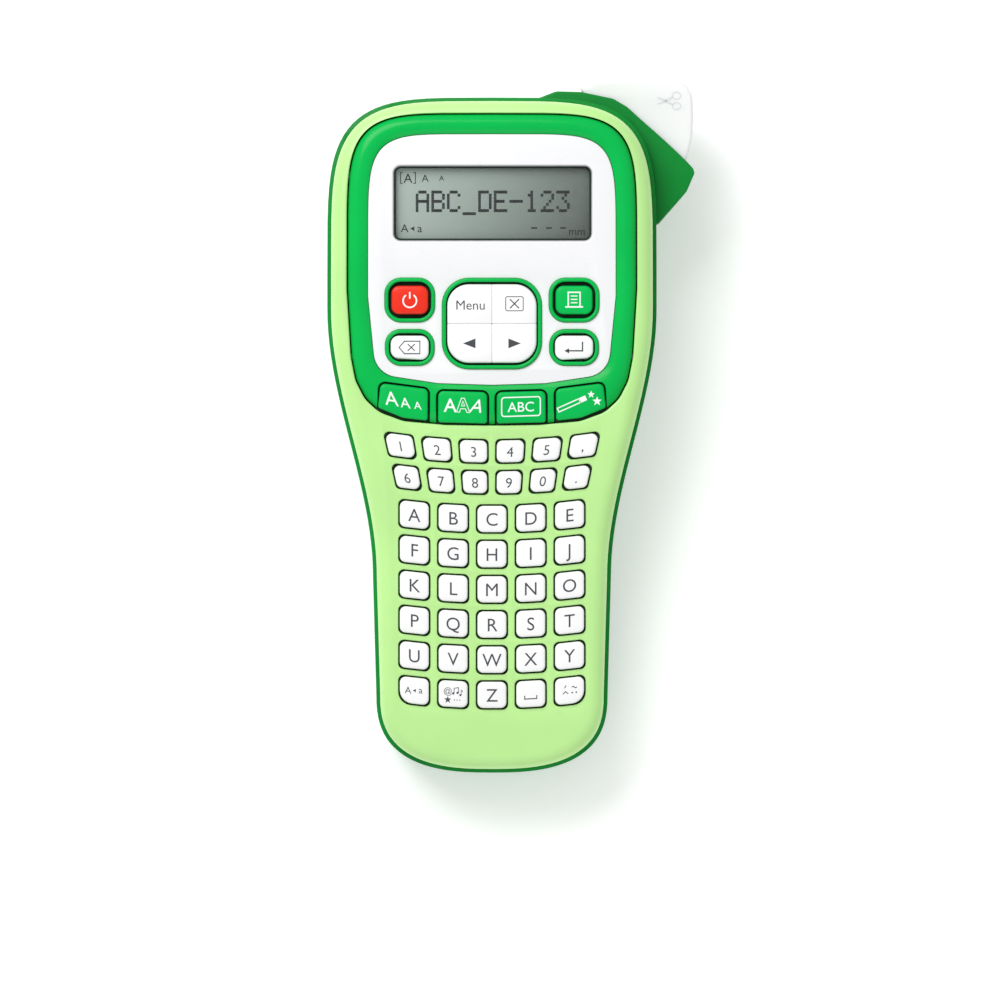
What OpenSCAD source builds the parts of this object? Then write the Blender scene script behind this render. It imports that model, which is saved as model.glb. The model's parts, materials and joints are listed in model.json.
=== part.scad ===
/* [Case] */
// Length of the case from its heel end to its head end
case_len = 201.3; // [195:0.1:245]
// Width of the head
head_w = 98.2; // [94:0.1:120]
// Width of the grip at its middle
grip_w = 71; // [66:0.1:86]
// Height of the front shell above the parting line
front_h = 12; // [11:0.1:15]
// Depth of the rear shell at the grip
grip_d = 17; // [16.5:0.1:21]
// Depth of the rear shell at the heel end, measured at the resting plane
heel_d = 19; // [18:0.1:24]
// Angle between the face and the surface that the object rests on
tilt = 7.5; // [5:0.1:9]
// Wall of the two shells
wall = 2; // [1.6:0.1:2.4]
// Inset of the front shell from the rear shell's edge
rim = 1.2; // [0.8:0.1:1.6]

/* [Keys] */
// Travel of every key
key_travel = 1; // [0.6:0.1:1.4]
// Gap between a key and the edge of its hole
key_gap = 0.5; // [0.3:0.05:0.8]
// Height of the character keys above the face
key_rise = 1.4; // [1:0.1:2]
// Spacing of the letter rows
row_pitch = 10.47; // [9.5:0.01:10.6]
// Spacing of the letter keys along a row
letter_pitch = 11.55; // [10.5:0.01:11.9]
// Width of a letter key
letter_w = 8.6; // [7:0.1:9.2]
// Height of a letter key
letter_h = 7.8; // [6.5:0.1:8.2]
// Height of a number key
number_h = 6.5; // [5.5:0.1:7]

/* [Tape and cutter] */
// Width of the tape
tape_w = 12; // [9:0.1:12.4]
// Diameter of the platen roller
platen_d = 9; // [7.5:0.1:9.4]
// Diameter of the lever's pivot pin
pivot_d = 3; // [2:0.1:3.6]
// Radial clearance of shafts and pins in their bores
bore_gap = 0.05; // [0.02:0.01:0.1]
// Width of the cassette
cassette_w = 66; // [58:0.1:68]

/* [Power] */
// Diameter of a cell
cell_d = 10.5; // [9:0.1:10.6]
// Length of a cell
cell_len = 44.5; // [36:0.1:44.5]

/* [Back cover] */
// Gap between the cover and the opening it fits
cover_gap = 0.3; // [0.2:0.05:0.5]

/* [Hidden] */
$fn = 48;
// Overlap of pieces that are joined, reach of a cut past a face, and clearance between ends
tiny = 0.01;
past = 1;
end_gap = 0.2;

// ---- Outline of the case in the face plane: u to the right, v towards the head ----
head_v = case_len - 51.3;
heel_v = 24;
grip_v = 59;
head_blend = 12;
function smooth(t) = t * t * (3 - 2 * t);
function side_u(v) =
    v < grip_v ? grip_w / 2 - 1 + (v - heel_v) / (grip_v - heel_v)
    : v < head_v - head_blend
        ? grip_w / 2 + (head_w - grip_w) / 2 * smooth((v - grip_v) / (head_v - head_blend - grip_v))
        : head_w / 2;
// Quarter of a superellipse with half axes a and b, from angle 0 to 90 in n steps
function corner(a, b, power, n) =
    [for (i = [0:n]) let (q = 90 * i / n) [a * pow(cos(q), 2 / power), b * pow(sin(q), 2 / power)]];
heel_power = 2.7;
head_power = 4.2;
corner_steps = 9;
side_steps = 11;
function right_side(d) = concat(
    [for (p = corner(grip_w / 2 - 1 - d, heel_v - d, heel_power, corner_steps)) [p[0], heel_v - p[1]]],
    [for (i = [1:side_steps]) let (v = grip_v + (head_v - grip_v) * (i - 1) / side_steps) [side_u(v) - d, v]],
    [for (p = corner(head_w / 2 - d, case_len - head_v - d, head_power, corner_steps)) [p[0], head_v + p[1]]]
);
// The heel quarter runs from its side to its end, so it is turned round to make one path
function heel_first(list) = concat(
    [for (i = [corner_steps:-1:0]) list[i]],
    [for (i = [corner_steps + 1:len(list) - 1]) list[i]]
);
function outline(d) = let (r = heel_first(right_side(d)), n = len(r)) concat(
    r, [for (i = [n - 2:-1:1]) [-r[i][0], r[i][1]]]
);
module slab(pts, w0, w1) translate([0, 0, w0]) linear_extrude(w1 - w0) polygon(pts);

// ---- Seating: the design frame is tilted so that heel and head rest on the floor ----
rest_slope = tan(tilt);
function rest_w(v) = -heel_d - rest_slope * v;
function wing_at(s, n) = wing_exit + s * [-0.766, 0.643] + n * [0.643, 0.766];
wing_exit = [head_w / 2 + 5.4, head_v + 20.4];
// ---- Rounded quadrilaterals for keys and pockets ----
round_steps = 3;
// Corner of a path at p between a and b, rounded with radius r
function round_corner(a, p, b, r) =
    let (
        ua = (a - p) / norm(a - p), ub = (b - p) / norm(b - p),
        half = acos(ua * ub) / 2, reach = r / tan(half),
        c = p + (ua + ub) / norm(ua + ub) * r / sin(half),
        s = p + ua * reach - c, e = p + ub * reach - c
    )
    [for (i = [0:round_steps]) let (
        t = i / round_steps, turn = 180 - 2 * half,
        k0 = sin((1 - t) * turn) / sin(turn), k1 = sin(t * turn) / sin(turn)
    ) c + k0 * s + k1 * e];
function rounded(q, r) = [for (i = [0:len(q) - 1])
    each round_corner(q[(i + len(q) - 1) % len(q)], q[i], q[(i + 1) % len(q)], is_list(r) ? r[i] : r)];
// The same for an open path, whose two ends stay as they are
function rounded_path(q, r) = concat(
    [q[0]], [for (i = [1:len(q) - 2]) each round_corner(q[i - 1], q[i], q[i + 1], r)], [q[len(q) - 1]]
);
// Rectangle of w by h about c as four corners, lower left first
function box_at(c, w, h) = [c + [-w, -h] / 2, c + [w, -h] / 2, c + [w, h] / 2, c + [-w, h] / 2];
// Quadrilateral grown by d on every side
function grown(q, d) = [for (i = [0:len(q) - 1]) let (
    p = q[i], a = q[(i + len(q) - 1) % len(q)], b = q[(i + 1) % len(q)],
    ea = (p - a) / norm(p - a), eb = (b - p) / norm(b - p),
    na = [ea[1], -ea[0]], nb = [eb[1], -eb[0]]
) p + d * (na + nb) / (1 + na * nb)];

// ---- Key places ----
// Every row sags like an arc of this radius
row_radius = 212;
function sag(u) = u * u / (2 * row_radius);
// Row heights, measured down from the head datum
number_upper_v = head_v - 54.3;
number_lower_v = head_v - 63.5;
letter_first_v = head_v - 74.4;
// Lines between number keys run to one point far below the face
fan_v = -38;
function fan_u(u, v_ref, v) = u * (v - fan_v) / (v_ref - fan_v);
function letter_quad(col, row) =
    let (u = col * letter_pitch, v0 = letter_first_v - row * row_pitch)
    [for (k = [[-1, -1], [1, -1], [1, 1], [-1, 1]])
        let (x = u + k[0] * letter_w / 2) [x, v0 + k[1] * letter_h / 2 + sag(x)]];
number_cols = [-2.5, -1.5, -0.5, 0.5, 1.5, 2.5];
function number_quad(col, pitch, v0, w) =
    [for (k = [[-1, -1], [1, -1], [1, 1], [-1, 1]])
        let (v = v0 + k[1] * number_h / 2, u = fan_u(col * pitch + k[0] * w / 2, v0, v))
        [u, v + sag(u)]];
number_upper_pitch = 10.88;
number_upper_w = 8;
number_lower_pitch = 10.1;
number_lower_w = 7.2;
key_round = 1.7;
bottom_round = 4;
function letter_radius(col, row) = row < 5 || abs(col) < 2 ? key_round
    : col < 0 ? [bottom_round, key_round, key_round, key_round]
    : [key_round, bottom_round, key_round, key_round];
letter_cols = [-2:2];

// Keys round the display
side_key_u = 24.45;
upper_key_v = head_v - 9.2;
lower_key_v = head_v - 23.3;
pocket_w = 14.9;
upper_pocket_h = 13.1;
lower_pocket_h = 10.7;
rim_w = 1.2;
upper_key_w = 11;
upper_key_h = 8.4;
lower_key_w = 11.4;
lower_key_h = 7;
pad_v = head_v - 16.2;
pad_pocket_w = 29.6;
pad_pocket_h = 27;
pad_w = 26.6;
pad_h = 23.4;
pad_split = 0.3;
pocket_round = 4.6;
pad_pocket_round = 8;
pad_round = 6.4;

// Function keys: their top edge follows the panel and their bottom edge the frame
function function_quad(side, inner) = inner
    ? [[side * 16.05, head_v - 45.6], [side * 1.4, head_v - 45.95], [side * 1.4, head_v - 36.6],
       [side * 16, head_v - 36.2]]
    : [[side * 33.9, head_v - 41.2], [side * 19.1, head_v - 45.1], [side * 19, head_v - 35.7],
       [side * 33.2, head_v - 33.9]];
function_round = 1.6;
// Right-hand quads run the other way round, so they are put in order
function ordered(q) = q[0][0] < q[1][0] ? q : [q[1], q[0], q[3], q[2]];

// ---- Levels above and below the parting line, along w ----
face_w = front_h;
face_back = face_w - wall;
panel_top = face_w;
flange_t = 1.2;
flange_w = 0.55;
// Reach of a flange past its key, under the edge of the hole
flange_reach = key_gap + flange_w;
key_top = face_w + key_rise;
mat_top = 4;
mat_t = 1;
board_t = 1.6;
board_w0 = 0.8;
plate_top = -0.6;
plate_t = 1.2;
gear_top = plate_top - plate_t - 1;
gear_t = 3;
bay_roof = -8.6;
bay_roof_t = 1.4;
cassette_top = bay_roof - bay_roof_t - 0.4;
cassette_t = tape_w + 5;
tape_mid = cassette_top - cassette_t / 2;
wing_top = -5;
wing_plate = 2;
lever_gap = 0.6;
wing_bottom = tape_mid - tape_w / 2 - 6;

// ---- Middle of the whole object, which stands over the origin ----
wing_reach = 11.4;
lever_rise = 6;
mid_u = wing_reach / 2;
mid_y = ((case_len + lever_rise) * cos(tilt) - wing_bottom * sin(tilt)) / 2;
module seat()
    translate([0, -mid_y, heel_d * cos(tilt)])
        rotate([tilt, 0, 0])
            translate([-mid_u, 0, 0])
                children();

// ---- Rear shell ----
// Points along an S-shaped blend from a to b
function blend(a, b, n) = [for (i = [0:n]) let (t = i / n)
    [a[0] + (b[0] - a[0]) * t, a[1] + (b[1] - a[1]) * smooth(t)]];
foot_h = 0.8;
grip_flat = 52;
hump_start = head_v - 52;
hump_flat = head_v - 24;
head_round = 14;
function quarter(c, a, b, q0, q1, n) =
    [for (i = [0:n]) let (q = q0 + (q1 - q0) * i / n) c + [a * cos(q), b * sin(q)]];
// Underside at v: it stands clear of the resting plane by the height of the feet
function under_w(v) = rest_w(v) + foot_h;
heel_round = 12;
heel_end = 26;
// Section along the case: heel, hollow grip, slope and hump
function side_profile(d) = concat(
    [[-10, 10], [-10, -3], [d, -3]],
    quarter([heel_round, under_w(heel_round) + heel_round], heel_round - d, heel_round - d, 180, 270, 5),
    blend([heel_end, under_w(heel_end) + d], [grip_flat, -grip_d + d], 5),
    blend([hump_start, -grip_d + d], [hump_flat, under_w(hump_flat) + d], 7),
    quarter([case_len - head_round, under_w(case_len - head_round) + head_round], head_round - d,
        head_round - d, 270, 360, 5),
    [[case_len + 10, -20], [case_len + 10, 10]]
);
hump_side = 9;
hump_side_top = -20;
hump_side_drop = 22;
// Section across the head: upright sides that curve in towards the back
function cross_profile(d) =
    let (
        half = head_w / 2 - d, low = rest_w(case_len) - 10,
        arc = quarter([half - hump_side, hump_side_top], hump_side, hump_side_drop, 0, -85, 7)
    )
    concat(
        [[half, 10]], arc, [[half - hump_side, low], [-half + hump_side, low]],
        [for (i = [len(arc) - 1:-1:0]) [-arc[i][0], arc[i][1]]], [[-half, 10]]
    );
module rear_solid(d) {
    depth = 60;
    intersection() {
        slab(outline(d), -depth, 0);
        translate([-head_w, 0, 0]) rotate([90, 0, 90]) linear_extrude(2 * head_w) polygon(side_profile(d));
        translate([0, case_len + 20, 0]) rotate([90, 0, 0]) linear_extrude(case_len + 40) polygon(cross_profile(d));
    }
}
module rear_shell() {
    difference() {
        rear_solid(0);
        translate([0, 0, tiny]) rear_solid(wall);
        slab(outline(wall), -3, 1);
    }
}

// Outline of the back cover's opening, shrunk by d
cover_start = 36;
cover_end = case_len - 14;
cover_grip_u = 24;
cover_head_u = 38;
cover_round = 6;
cover_widen = [hump_start - 6, hump_flat - 4];
function cover_outline(d) = rounded([
    [-cover_grip_u + d, cover_start + d], [cover_grip_u - d, cover_start + d],
    [cover_grip_u - d, cover_widen[0]], [cover_head_u - d, cover_widen[1]],
    [cover_head_u - d, cover_end - d], [-cover_head_u + d, cover_end - d],
    [-cover_head_u + d, cover_widen[1]], [-cover_grip_u + d, cover_widen[0]]
], cover_round);

// ---- Tape housing at the upper right, in the face plane ----
housing = [
    [head_w / 2 - 44, case_len - 0.4], [head_w / 2 - 34.6, case_len + 1], [head_w / 2 - 28.9, case_len + 2],
    [head_w / 2 - 21.4, case_len + 1.1], [head_w / 2 - 13.1, case_len - 1.6],
    [head_w / 2 - 7.7, case_len - 5.5], [head_w / 2 - 1.6, case_len - 10.2],
    [head_w / 2 + 6, case_len - 16.8], [head_w / 2 + 9.4, case_len - 19.5],
    [head_w / 2 + 11, case_len - 21.2], [head_w / 2 + 11.4, case_len - 22.4],
    [head_w / 2 + 8.9, case_len - 27.8], [head_w / 2 + 0.6, case_len - 37.6],
    [head_w / 2 - 4, case_len - 37.6], [head_w / 2 - 30, case_len - 10]
];
// The space inside it that the tape, the blade and the lever move through
pivot = wing_at(34, 5.5);
hollow = [
    wing_at(2, -6.2), wing_at(2, 40), wing_at(60, 40), wing_at(60, 5), wing_at(46, 5), wing_at(46, -6.2)
];
// The mouth in the lower right wall that the tape leaves through
mouth_half = 3.4;
mouth = [wing_at(-4, -mouth_half), wing_at(-4, mouth_half), wing_at(6, mouth_half), wing_at(6, -mouth_half)];
mouth_flare = 1.2;
mouth_w0 = tape_mid - tape_w / 2 - mouth_flare;
mouth_w1 = tape_mid + tape_w / 2 + mouth_flare;

pad_r = 2.6;
heel_pad = [20, 21];
head_pad = [head_w / 2 - 7, head_v - 13];
heel_screw = [22, 11];
side_screw = [head_w / 2 - 6.4, head_v - 26];
screw_spots = [
    [-heel_screw[0], heel_screw[1]], heel_screw, [-side_screw[0], side_screw[1]], side_screw,
    [-head_w / 2 + 7, head_v + 28]
];
boss_r = 3.4;
recess_w = -9;
screw_r = 1.1;
screw_head_r = 2.2;
socket_v = head_v + 12;
socket_w = [9, 9.4, 11];
socket_mid = -15.2;

module rear_case() color([0.11, 0.62, 0.27]) seat() {
    difference() {
        union() {
            difference() {
                rear_shell();
                slab(cover_outline(0), -60, cover_cut_top);
            }
            // Ledge inside the cover's opening
            intersection() {
                difference() {
                    rear_solid(wall + cover_gap);
                    translate([0, 0, ledge]) rear_solid(wall + cover_gap);
                }
                difference() {
                    slab(cover_outline(-2), -60, cover_cut_top);
                    slab(cover_outline(ledge), -61, 0);
                }
            }
            housing_walls();
            intersection() {
                rear_solid(0);
                for (p = screw_spots) translate([p[0], p[1], -60]) cylinder(r = boss_r, h = 60);
            }
            for (side = [-1, 1]) {
                foot(side * heel_pad[0], heel_pad[1]);
                foot(side * head_pad[0], head_pad[1]);
            }
        }
        hollow_cut();
        for (p = screw_spots) {
            translate([p[0], p[1], -60]) cylinder(r = screw_r + screw_gap, h = 61);
            translate([p[0], p[1], -60]) cylinder(r = screw_head_r + screw_gap, h = 60 + recess_w);
        }
        // Opening for the DC socket in the left wall
        translate([-head_w / 2 - 1, socket_v - socket_w[1] / 2, socket_mid - socket_w[0] / 2])
            cube([wall + 2, socket_w[1], socket_w[0]]);
        for (level = [wing_top - wing_plate - 0.5, wing_bottom - 0.5])
            translate([pivot[0], pivot[1], level]) cylinder(r = pivot_d / 2, h = wing_plate + 1);
    }
}
ledge = 1.6;
cover_cut_top = -10;
screw_gap = 0.2;
// A pad with its flat end on the resting plane
module foot(u, v)
    translate([u, v, rest_w(v)]) rotate([-tilt, 0, 0]) cylinder(r = pad_r, h = wall);
module housing_walls() {
    difference() {
        slab(housing, wing_bottom, wing_top);
        slab(hollow, wing_bottom + wing_plate, wing_top - wing_plate);
        slab(outline(wall), wing_bottom - 1, 0);
    }
    // Round lugs inside the head that hold the pivot pin
    for (level = [wing_bottom, wing_top - wing_plate])
        translate([pivot[0], pivot[1], level]) cylinder(r = lug_r, h = wing_plate);
}
lug_r = 5;
module hollow_cut() {
    difference() {
        slab(hollow, wing_bottom + wing_plate, wing_top - wing_plate);
        slab(outline(wall + 1), -60, 0);
    }
    slab(mouth, mouth_w0, mouth_w1);
}

// ---- Front shell ----
// Steps that round the shell's upper edge: inset and height below the face
edge_r = 4;
edge_steps = 5;
module front_solid(d, w0) {
    for (i = [0:edge_steps]) {
        q = 90 * i / edge_steps;
        slab(outline(rim + d + edge_r * (1 - cos(q))), w0, face_w - d - edge_r * (1 - sin(q)));
    }
}
// Outer outline of the display frame, shrunk by d
frame_half = 42.9;
frame_low_v = head_v - 46;
frame_high_v = case_len - 5.2;
function frame_outline(d) = concat(
    rounded_path([[-frame_half + d, head_v - 6], [-frame_half + 1.4 + d, frame_low_v + 19],
        [-frame_half + 4.4 + d, frame_low_v + 6.6 + d],
        [-24, frame_low_v + 1.1 + d], [0, frame_low_v + d - 0.1], [24, frame_low_v + 1.1 + d],
        [frame_half - 4.4 - d, frame_low_v + 6.6 + d],
        [frame_half - 1.4 - d, frame_low_v + 19], [frame_half - d, head_v - 6]], 5),
    arch(frame_half - d, frame_high_v - d, 4.4)
);
// Arch over the head: a superellipse from the right side over to the left
arch_steps = 8;
function arch(half, top, power) =
    let (q = corner(half, top - head_v, power, arch_steps))
    concat(
        [for (p = q) [p[0], head_v + p[1]]],
        [for (i = [arch_steps - 1:-1:0]) [-q[i][0], head_v + q[i][1]]]
    );
// Outline of the white panel, shrunk by d
panel_half = 36.9;
panel_high_v = case_len - 11.1;
panel_low_v = head_v - 34.4;
function panel_outline(d) = concat(
    rounded_path([[-panel_half + d, head_v - 8], [-panel_half + 2.3 + d, panel_low_v + 3.2 + d],
        [-16, panel_low_v + 0.4 + d], [0, panel_low_v + d - 0.1], [16, panel_low_v + 0.4 + d],
        [panel_half - 2.3 - d, panel_low_v + 3.2 + d], [panel_half - d, head_v - 8]], 4.5),
    arch(panel_half - d, panel_high_v - d, 4.2)
);
frame_gap = 0.3;
panel_gap = 0.12;
window_mid = [0.2, head_v + 19.6];
function window_quad(d) = box_at(window_mid, window_w + 2 * d, window_h + 2 * d);
window_w = 59.4;
window_h = 22.7;
window_round = 2.4;
pad_mid = [0, pad_v];
module all_character_holes(d)
    for (row = [0:5], col = letter_cols)
        slab(rounded(grown(letter_quad(col, row), d), key_round + d), face_back - 1, face_w + 1);
module number_holes(d)
    for (col = number_cols) {
        slab(rounded(grown(upper_quad(col), d), key_round), face_back - 1, face_w + 1);
        slab(rounded(grown(lower_quad(col), d), key_round), face_back - 1, face_w + 1);
    }
function upper_quad(col) = number_quad(col, number_upper_pitch, number_upper_v, number_upper_w);
function lower_quad(col) = number_quad(col, number_lower_pitch, number_lower_v, number_lower_w);

module front_case() color([0.76, 0.95, 0.61]) seat() {
    difference() {
        front_solid(0, 0);
        difference() {
            front_solid(wall, -1);
            for (p = screw_spots) translate([p[0], p[1], -1]) cylinder(r = boss_r, h = floor_plate_w - end_gap);
        }
        slab(frame_outline(-frame_gap), floor_plate_w - 1, face_w + 1);
        all_character_holes(key_gap);
        number_holes(key_gap);
        for (p = screw_spots) translate([p[0], p[1], -1]) cylinder(r = screw_r, h = screw_reach + 2);
    }
}
screw_reach = 6;

// ---- Display frame: a domed ring, a floor below the panel, and rims round the upper keys ----
floor_plate_w = face_back - 1.4;
floor_plate_t = 1.2;
frame_floor_top = floor_plate_w + floor_plate_t;
rim_top = face_w + 0.8;
ring_steps = [[0, 0.1], [0.7, 0.6], [1.8, 0.9], [3, 1]];
function upper_pocket(side, d) = box_at([side * side_key_u, upper_key_v], pocket_w + 2 * d, upper_pocket_h + 2 * d);
function lower_pocket(side, d) = box_at([side * side_key_u, lower_key_v], pocket_w + 2 * d, lower_pocket_h + 2 * d);
function pad_pocket(d) = box_at(pad_mid, pad_pocket_w + 2 * d, pad_pocket_h + 2 * d);
module pockets(d, w0, w1) {
    for (side = [-1, 1]) {
        slab(rounded(upper_pocket(side, d), pocket_round + d), w0, w1);
        slab(rounded(lower_pocket(side, d), pocket_round + d), w0, w1);
    }
    slab(rounded(pad_pocket(d), pad_pocket_round + d), w0, w1);
}
module display_frame() color([0, 0.69, 0.29]) seat() {
    difference() {
        union() {
            difference() {
                for (step = ring_steps) slab(frame_outline(step[0]), floor_plate_w, face_w + step[1]);
                slab(panel_outline(-panel_gap), frame_floor_top, face_w + 2);
            }
            pockets(0, floor_plate_w, rim_top);
        }
        pockets(-rim_w, floor_plate_w - 1, rim_top + 1);
        slab(rounded(window_quad(lens_lip + panel_gap), window_round), floor_plate_w - 1, frame_floor_top + tiny);
        for (side = [-1, 1], inner = [true, false])
            slab(rounded(notch(side, inner), function_round), floor_plate_w - 1, face_w + 2);
    }
}
// A function key's notch runs out through the frame's lower edge
notch_run = 4;
function notch(side, inner) =
    let (q = grown(ordered(function_quad(side, inner)), key_gap), down = [0, -notch_run])
    [q[0] + down, q[1] + down, q[2], q[3]];
lens_lip = 1;
module face_panel() color([0.96, 0.96, 0.97]) seat() {
    difference() {
        slab(panel_outline(0), frame_floor_top + 0.05, panel_top);
        slab(rounded(window_quad(0), window_round), 0, face_w + 1);
        pockets(panel_gap, 0, face_w + 1);
    }
}
module display_window() color([0.75, 0.8, 0.75, 0.4]) seat()
    slab(rounded(window_quad(lens_lip), window_round), floor_plate_w + 0.1, frame_floor_top);
lcd_w = [64, 30];
lcd_t = 3;
module lcd_module() color([0.45, 0.5, 0.45]) seat()
    difference() {
        slab(box_at(window_mid, lcd_w[0], lcd_w[1]), floor_plate_w - end_gap - lcd_t, floor_plate_w - end_gap);
        slab(window_quad(0.5), floor_plate_w - 0.6, floor_plate_w);
    }

// ---- Inner sheets ----
module sheet_holes(w0, w1)
    for (p = screw_spots) translate([p[0], p[1], w0 - 1]) cylinder(r = boss_r + 0.5, h = w1 - w0 + 2);
mat_clear = 3;
module key_mat() color([0.3, 0.32, 0.35]) seat()
    difference() {
        slab(outline(rim + wall + mat_clear), mat_top - mat_t, mat_top);
        sheet_holes(mat_top - mat_t, mat_top);
        slab(box_at(window_mid, lcd_w[0] + 1, lcd_w[1] + 1), 0, face_w);
    }
module circuit_board() color([0.05, 0.35, 0.2]) seat()
    difference() {
        union() {
            slab(outline(rim + wall + 1), board_w0, board_w0 + board_t);
            // Processor and its neighbours, in the clear space under the display
            for (chip = [[0.2, head_v + 20, 9, 9], [16, head_v + 22, 6, 4], [-16, head_v + 18, 5, 7]])
                slab(box_at([chip[0], chip[1]], chip[2], chip[3]), board_w0, board_w0 + board_t + 1.1);
        }
        sheet_holes(board_w0, board_w0 + board_t);
    }
bay_gap = 0.4;
bay_half = 1.5 * (cell_d + bay_gap) + bay_gap + wall;
contact_gap = 2.4;
cell_bay_len = 2 * cell_len + 3 * contact_gap;
cell_v0 = head_v - 16 - cell_bay_len;
cell_w = -3.2 - cell_d / 2;
chassis_inset = 1.5;
// Region of the roof kept clear for the lever, the blade and the tape
keep_out = [
    wing_at(-20, -4), wing_at(13.7, -4), wing_at(13.7, -0.3), wing_at(17.6, -0.3), wing_at(17.6, 2.9),
    wing_at(29, 2.9), wing_at(29, 0.3), wing_at(60, 0.3), wing_at(60, 60), wing_at(-20, 60)
];
module chassis_plate() color([0.25, 0.27, 0.3]) seat()
    difference() {
        union() {
            slab(outline(wall + chassis_inset), plate_top - plate_t, plate_top);
            // Side and end walls of the battery bay
            for (side = [-1, 1])
                translate([side * (bay_half - wall / 2) - wall / 2, cell_v0 - wall, cell_w - 2])
                    cube([wall, cell_bay_len + 2 * wall, plate_top - cell_w + 1.4]);
            for (v = [cell_v0 - wall, cell_v0 + cell_bay_len])
                translate([-bay_half, v, cell_w - 2]) cube([2 * bay_half, wall, plate_top - cell_w + 1.4]);
            // Roof of the cassette bay
            difference() {
                intersection() {
                    slab(outline(wall + chassis_inset), bay_roof - bay_roof_t, bay_roof);
                    translate([-head_w / 2, head_v - 14 + wall, -20]) cube([head_w, 70, 20]);
                }
                slab(keep_out, -20, 0);
            }
            // Pillars between the plate and the roof
            for (p = pillars) translate([p[0], p[1], bay_roof - tiny])
                cylinder(r = pillar_r, h = plate_top - bay_roof);
        }
        sheet_holes(-20, 0);
        for (a = [platen_mid, reduction_mid, ribbon_mid])
            translate([a[0], a[1], -20]) cylinder(r = axle_r + bore_gap, h = 20);
        translate([motor_mid[0], motor_mid[1], -20]) cylinder(r = 2.2, h = 20 + plate_top - plate_t - 0.4);
    }
pillar_r = 2;
pillars = [[-36, head_v + 2], [-30, head_v + 36], [33, head_v - 9.5], [6, head_v + 42]];

// ---- Drive train ----
gear_module = 0.7;
pinion_teeth = 14;
reduction_teeth = 56;
platen_teeth = 24;
ribbon_teeth = 30;
pressure = 20;
backlash = 0.16;
axle_r = 1;
platen_s = 24;
tape_t = 0.16;
tape_gap = 0.1;
platen_mid = wing_at(platen_s, -platen_d / 2 - tape_gap - tape_t / 2);
motor_mid = [head_w / 2 - 8.3, head_v - 1];
motor_r = 5.6;
motor_len = 15;
function centre_distance(a, b) = gear_module * (a + b) / 2;
// Centre at distances da and db from points a and b, on the left of the way from a to b
function third_point(a, b, da, db) =
    let (l = norm(b - a), k = (da * da - db * db + l * l) / (2 * l), h = sqrt(da * da - k * k), e = (b - a) / l)
    a + k * e + h * [e[1], -e[0]];
reduction_mid = third_point(platen_mid, motor_mid,
    centre_distance(platen_teeth, reduction_teeth), centre_distance(pinion_teeth, reduction_teeth));
ribbon_mid = reduction_mid + centre_distance(reduction_teeth, ribbon_teeth) * [-cos(14), sin(14)];
function heading(a, b) = atan2(b[1] - a[1], b[0] - a[0]);
// Turn of gear b so that its gaps meet the teeth of gear a
function mesh_turn(a, b, za, turn_a, zb) =
    let (q = heading(a, b)) q + 180 + (q - turn_a) * za / zb + 180 / zb;
function involute(q) = tan(q) - q * PI / 180;
function half_tooth(z, r, rho) =
    let (rb = r * cos(pressure), q = rho > rb ? acos(rb / rho) : 0)
    90 / z - backlash / (2 * r) * 180 / PI / 2 + (involute(pressure) - involute(q)) * 180 / PI;
function gear_points(z) =
    let (
        r = gear_module * z / 2, tip = r + 0.9 * gear_module, root = r - 1.15 * gear_module,
        base = max(r * cos(pressure), root + 0.05), steps = [root, base, (base + tip) / 2 + 0.05, tip]
    )
    [for (k = [0:z - 1]) each concat(
        [for (rho = steps) let (q = 360 * k / z - half_tooth(z, r, rho)) rho * [cos(q), sin(q)]],
        [for (i = [3:-1:0]) let (rho = steps[i], q = 360 * k / z + half_tooth(z, r, rho)) rho * [cos(q), sin(q)]]
    )];
module gear(z, at, turn, bore, hub_r, hub_h)
    translate([at[0], at[1], gear_top - gear_t])
        difference() {
            union() {
                rotate([0, 0, turn]) linear_extrude(gear_t) polygon(gear_points(z));
                translate([0, 0, -hub_h]) cylinder(r = hub_r, h = gear_t + hub_h);
            }
            translate([0, 0, -hub_h - 1]) cylinder(r = bore, h = gear_t + hub_h + 2);
        }
reduction_turn = heading(reduction_mid, motor_mid);
module motor_pinion() color("gold") seat()
    gear(pinion_teeth, motor_mid, mesh_turn(reduction_mid, motor_mid, reduction_teeth, reduction_turn,
        pinion_teeth), 0.75 + bore_gap, 2.2, 0.8);
module reduction_gear() color("white") seat()
    gear(reduction_teeth, reduction_mid, reduction_turn, axle_r + bore_gap, 3, 1);
module platen_gear() color("white") seat()
    gear(platen_teeth, platen_mid, mesh_turn(reduction_mid, platen_mid, reduction_teeth, reduction_turn,
        platen_teeth), axle_r, 2.4, 1);
module ribbon_gear() color("white") seat()
    gear(ribbon_teeth, ribbon_mid, mesh_turn(reduction_mid, ribbon_mid, reduction_teeth, reduction_turn,
        ribbon_teeth), axle_r, 2.4, 1);
roller_top = bay_roof - bay_roof_t - 0.6;
roller_low = tape_mid - tape_w / 2 - 1;
module platen_shaft() color("silver") seat()
    translate([platen_mid[0], platen_mid[1], roller_low - shaft_below])
        cylinder(r = axle_r, h = plate_top - end_gap - roller_low + shaft_below);
shaft_below = 2;
module platen_roller() color([0.15, 0.15, 0.16]) seat()
    translate([platen_mid[0], platen_mid[1], roller_low])
        difference() {
            cylinder(r = platen_d / 2, h = roller_top - roller_low);
            translate([0, 0, -1]) cylinder(r = axle_r, h = 40);
        }
spindle_low = cassette_top - 12;
spline_r = 2.8;
spindle_r = 2.2;
spindle_len = 11;
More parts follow.
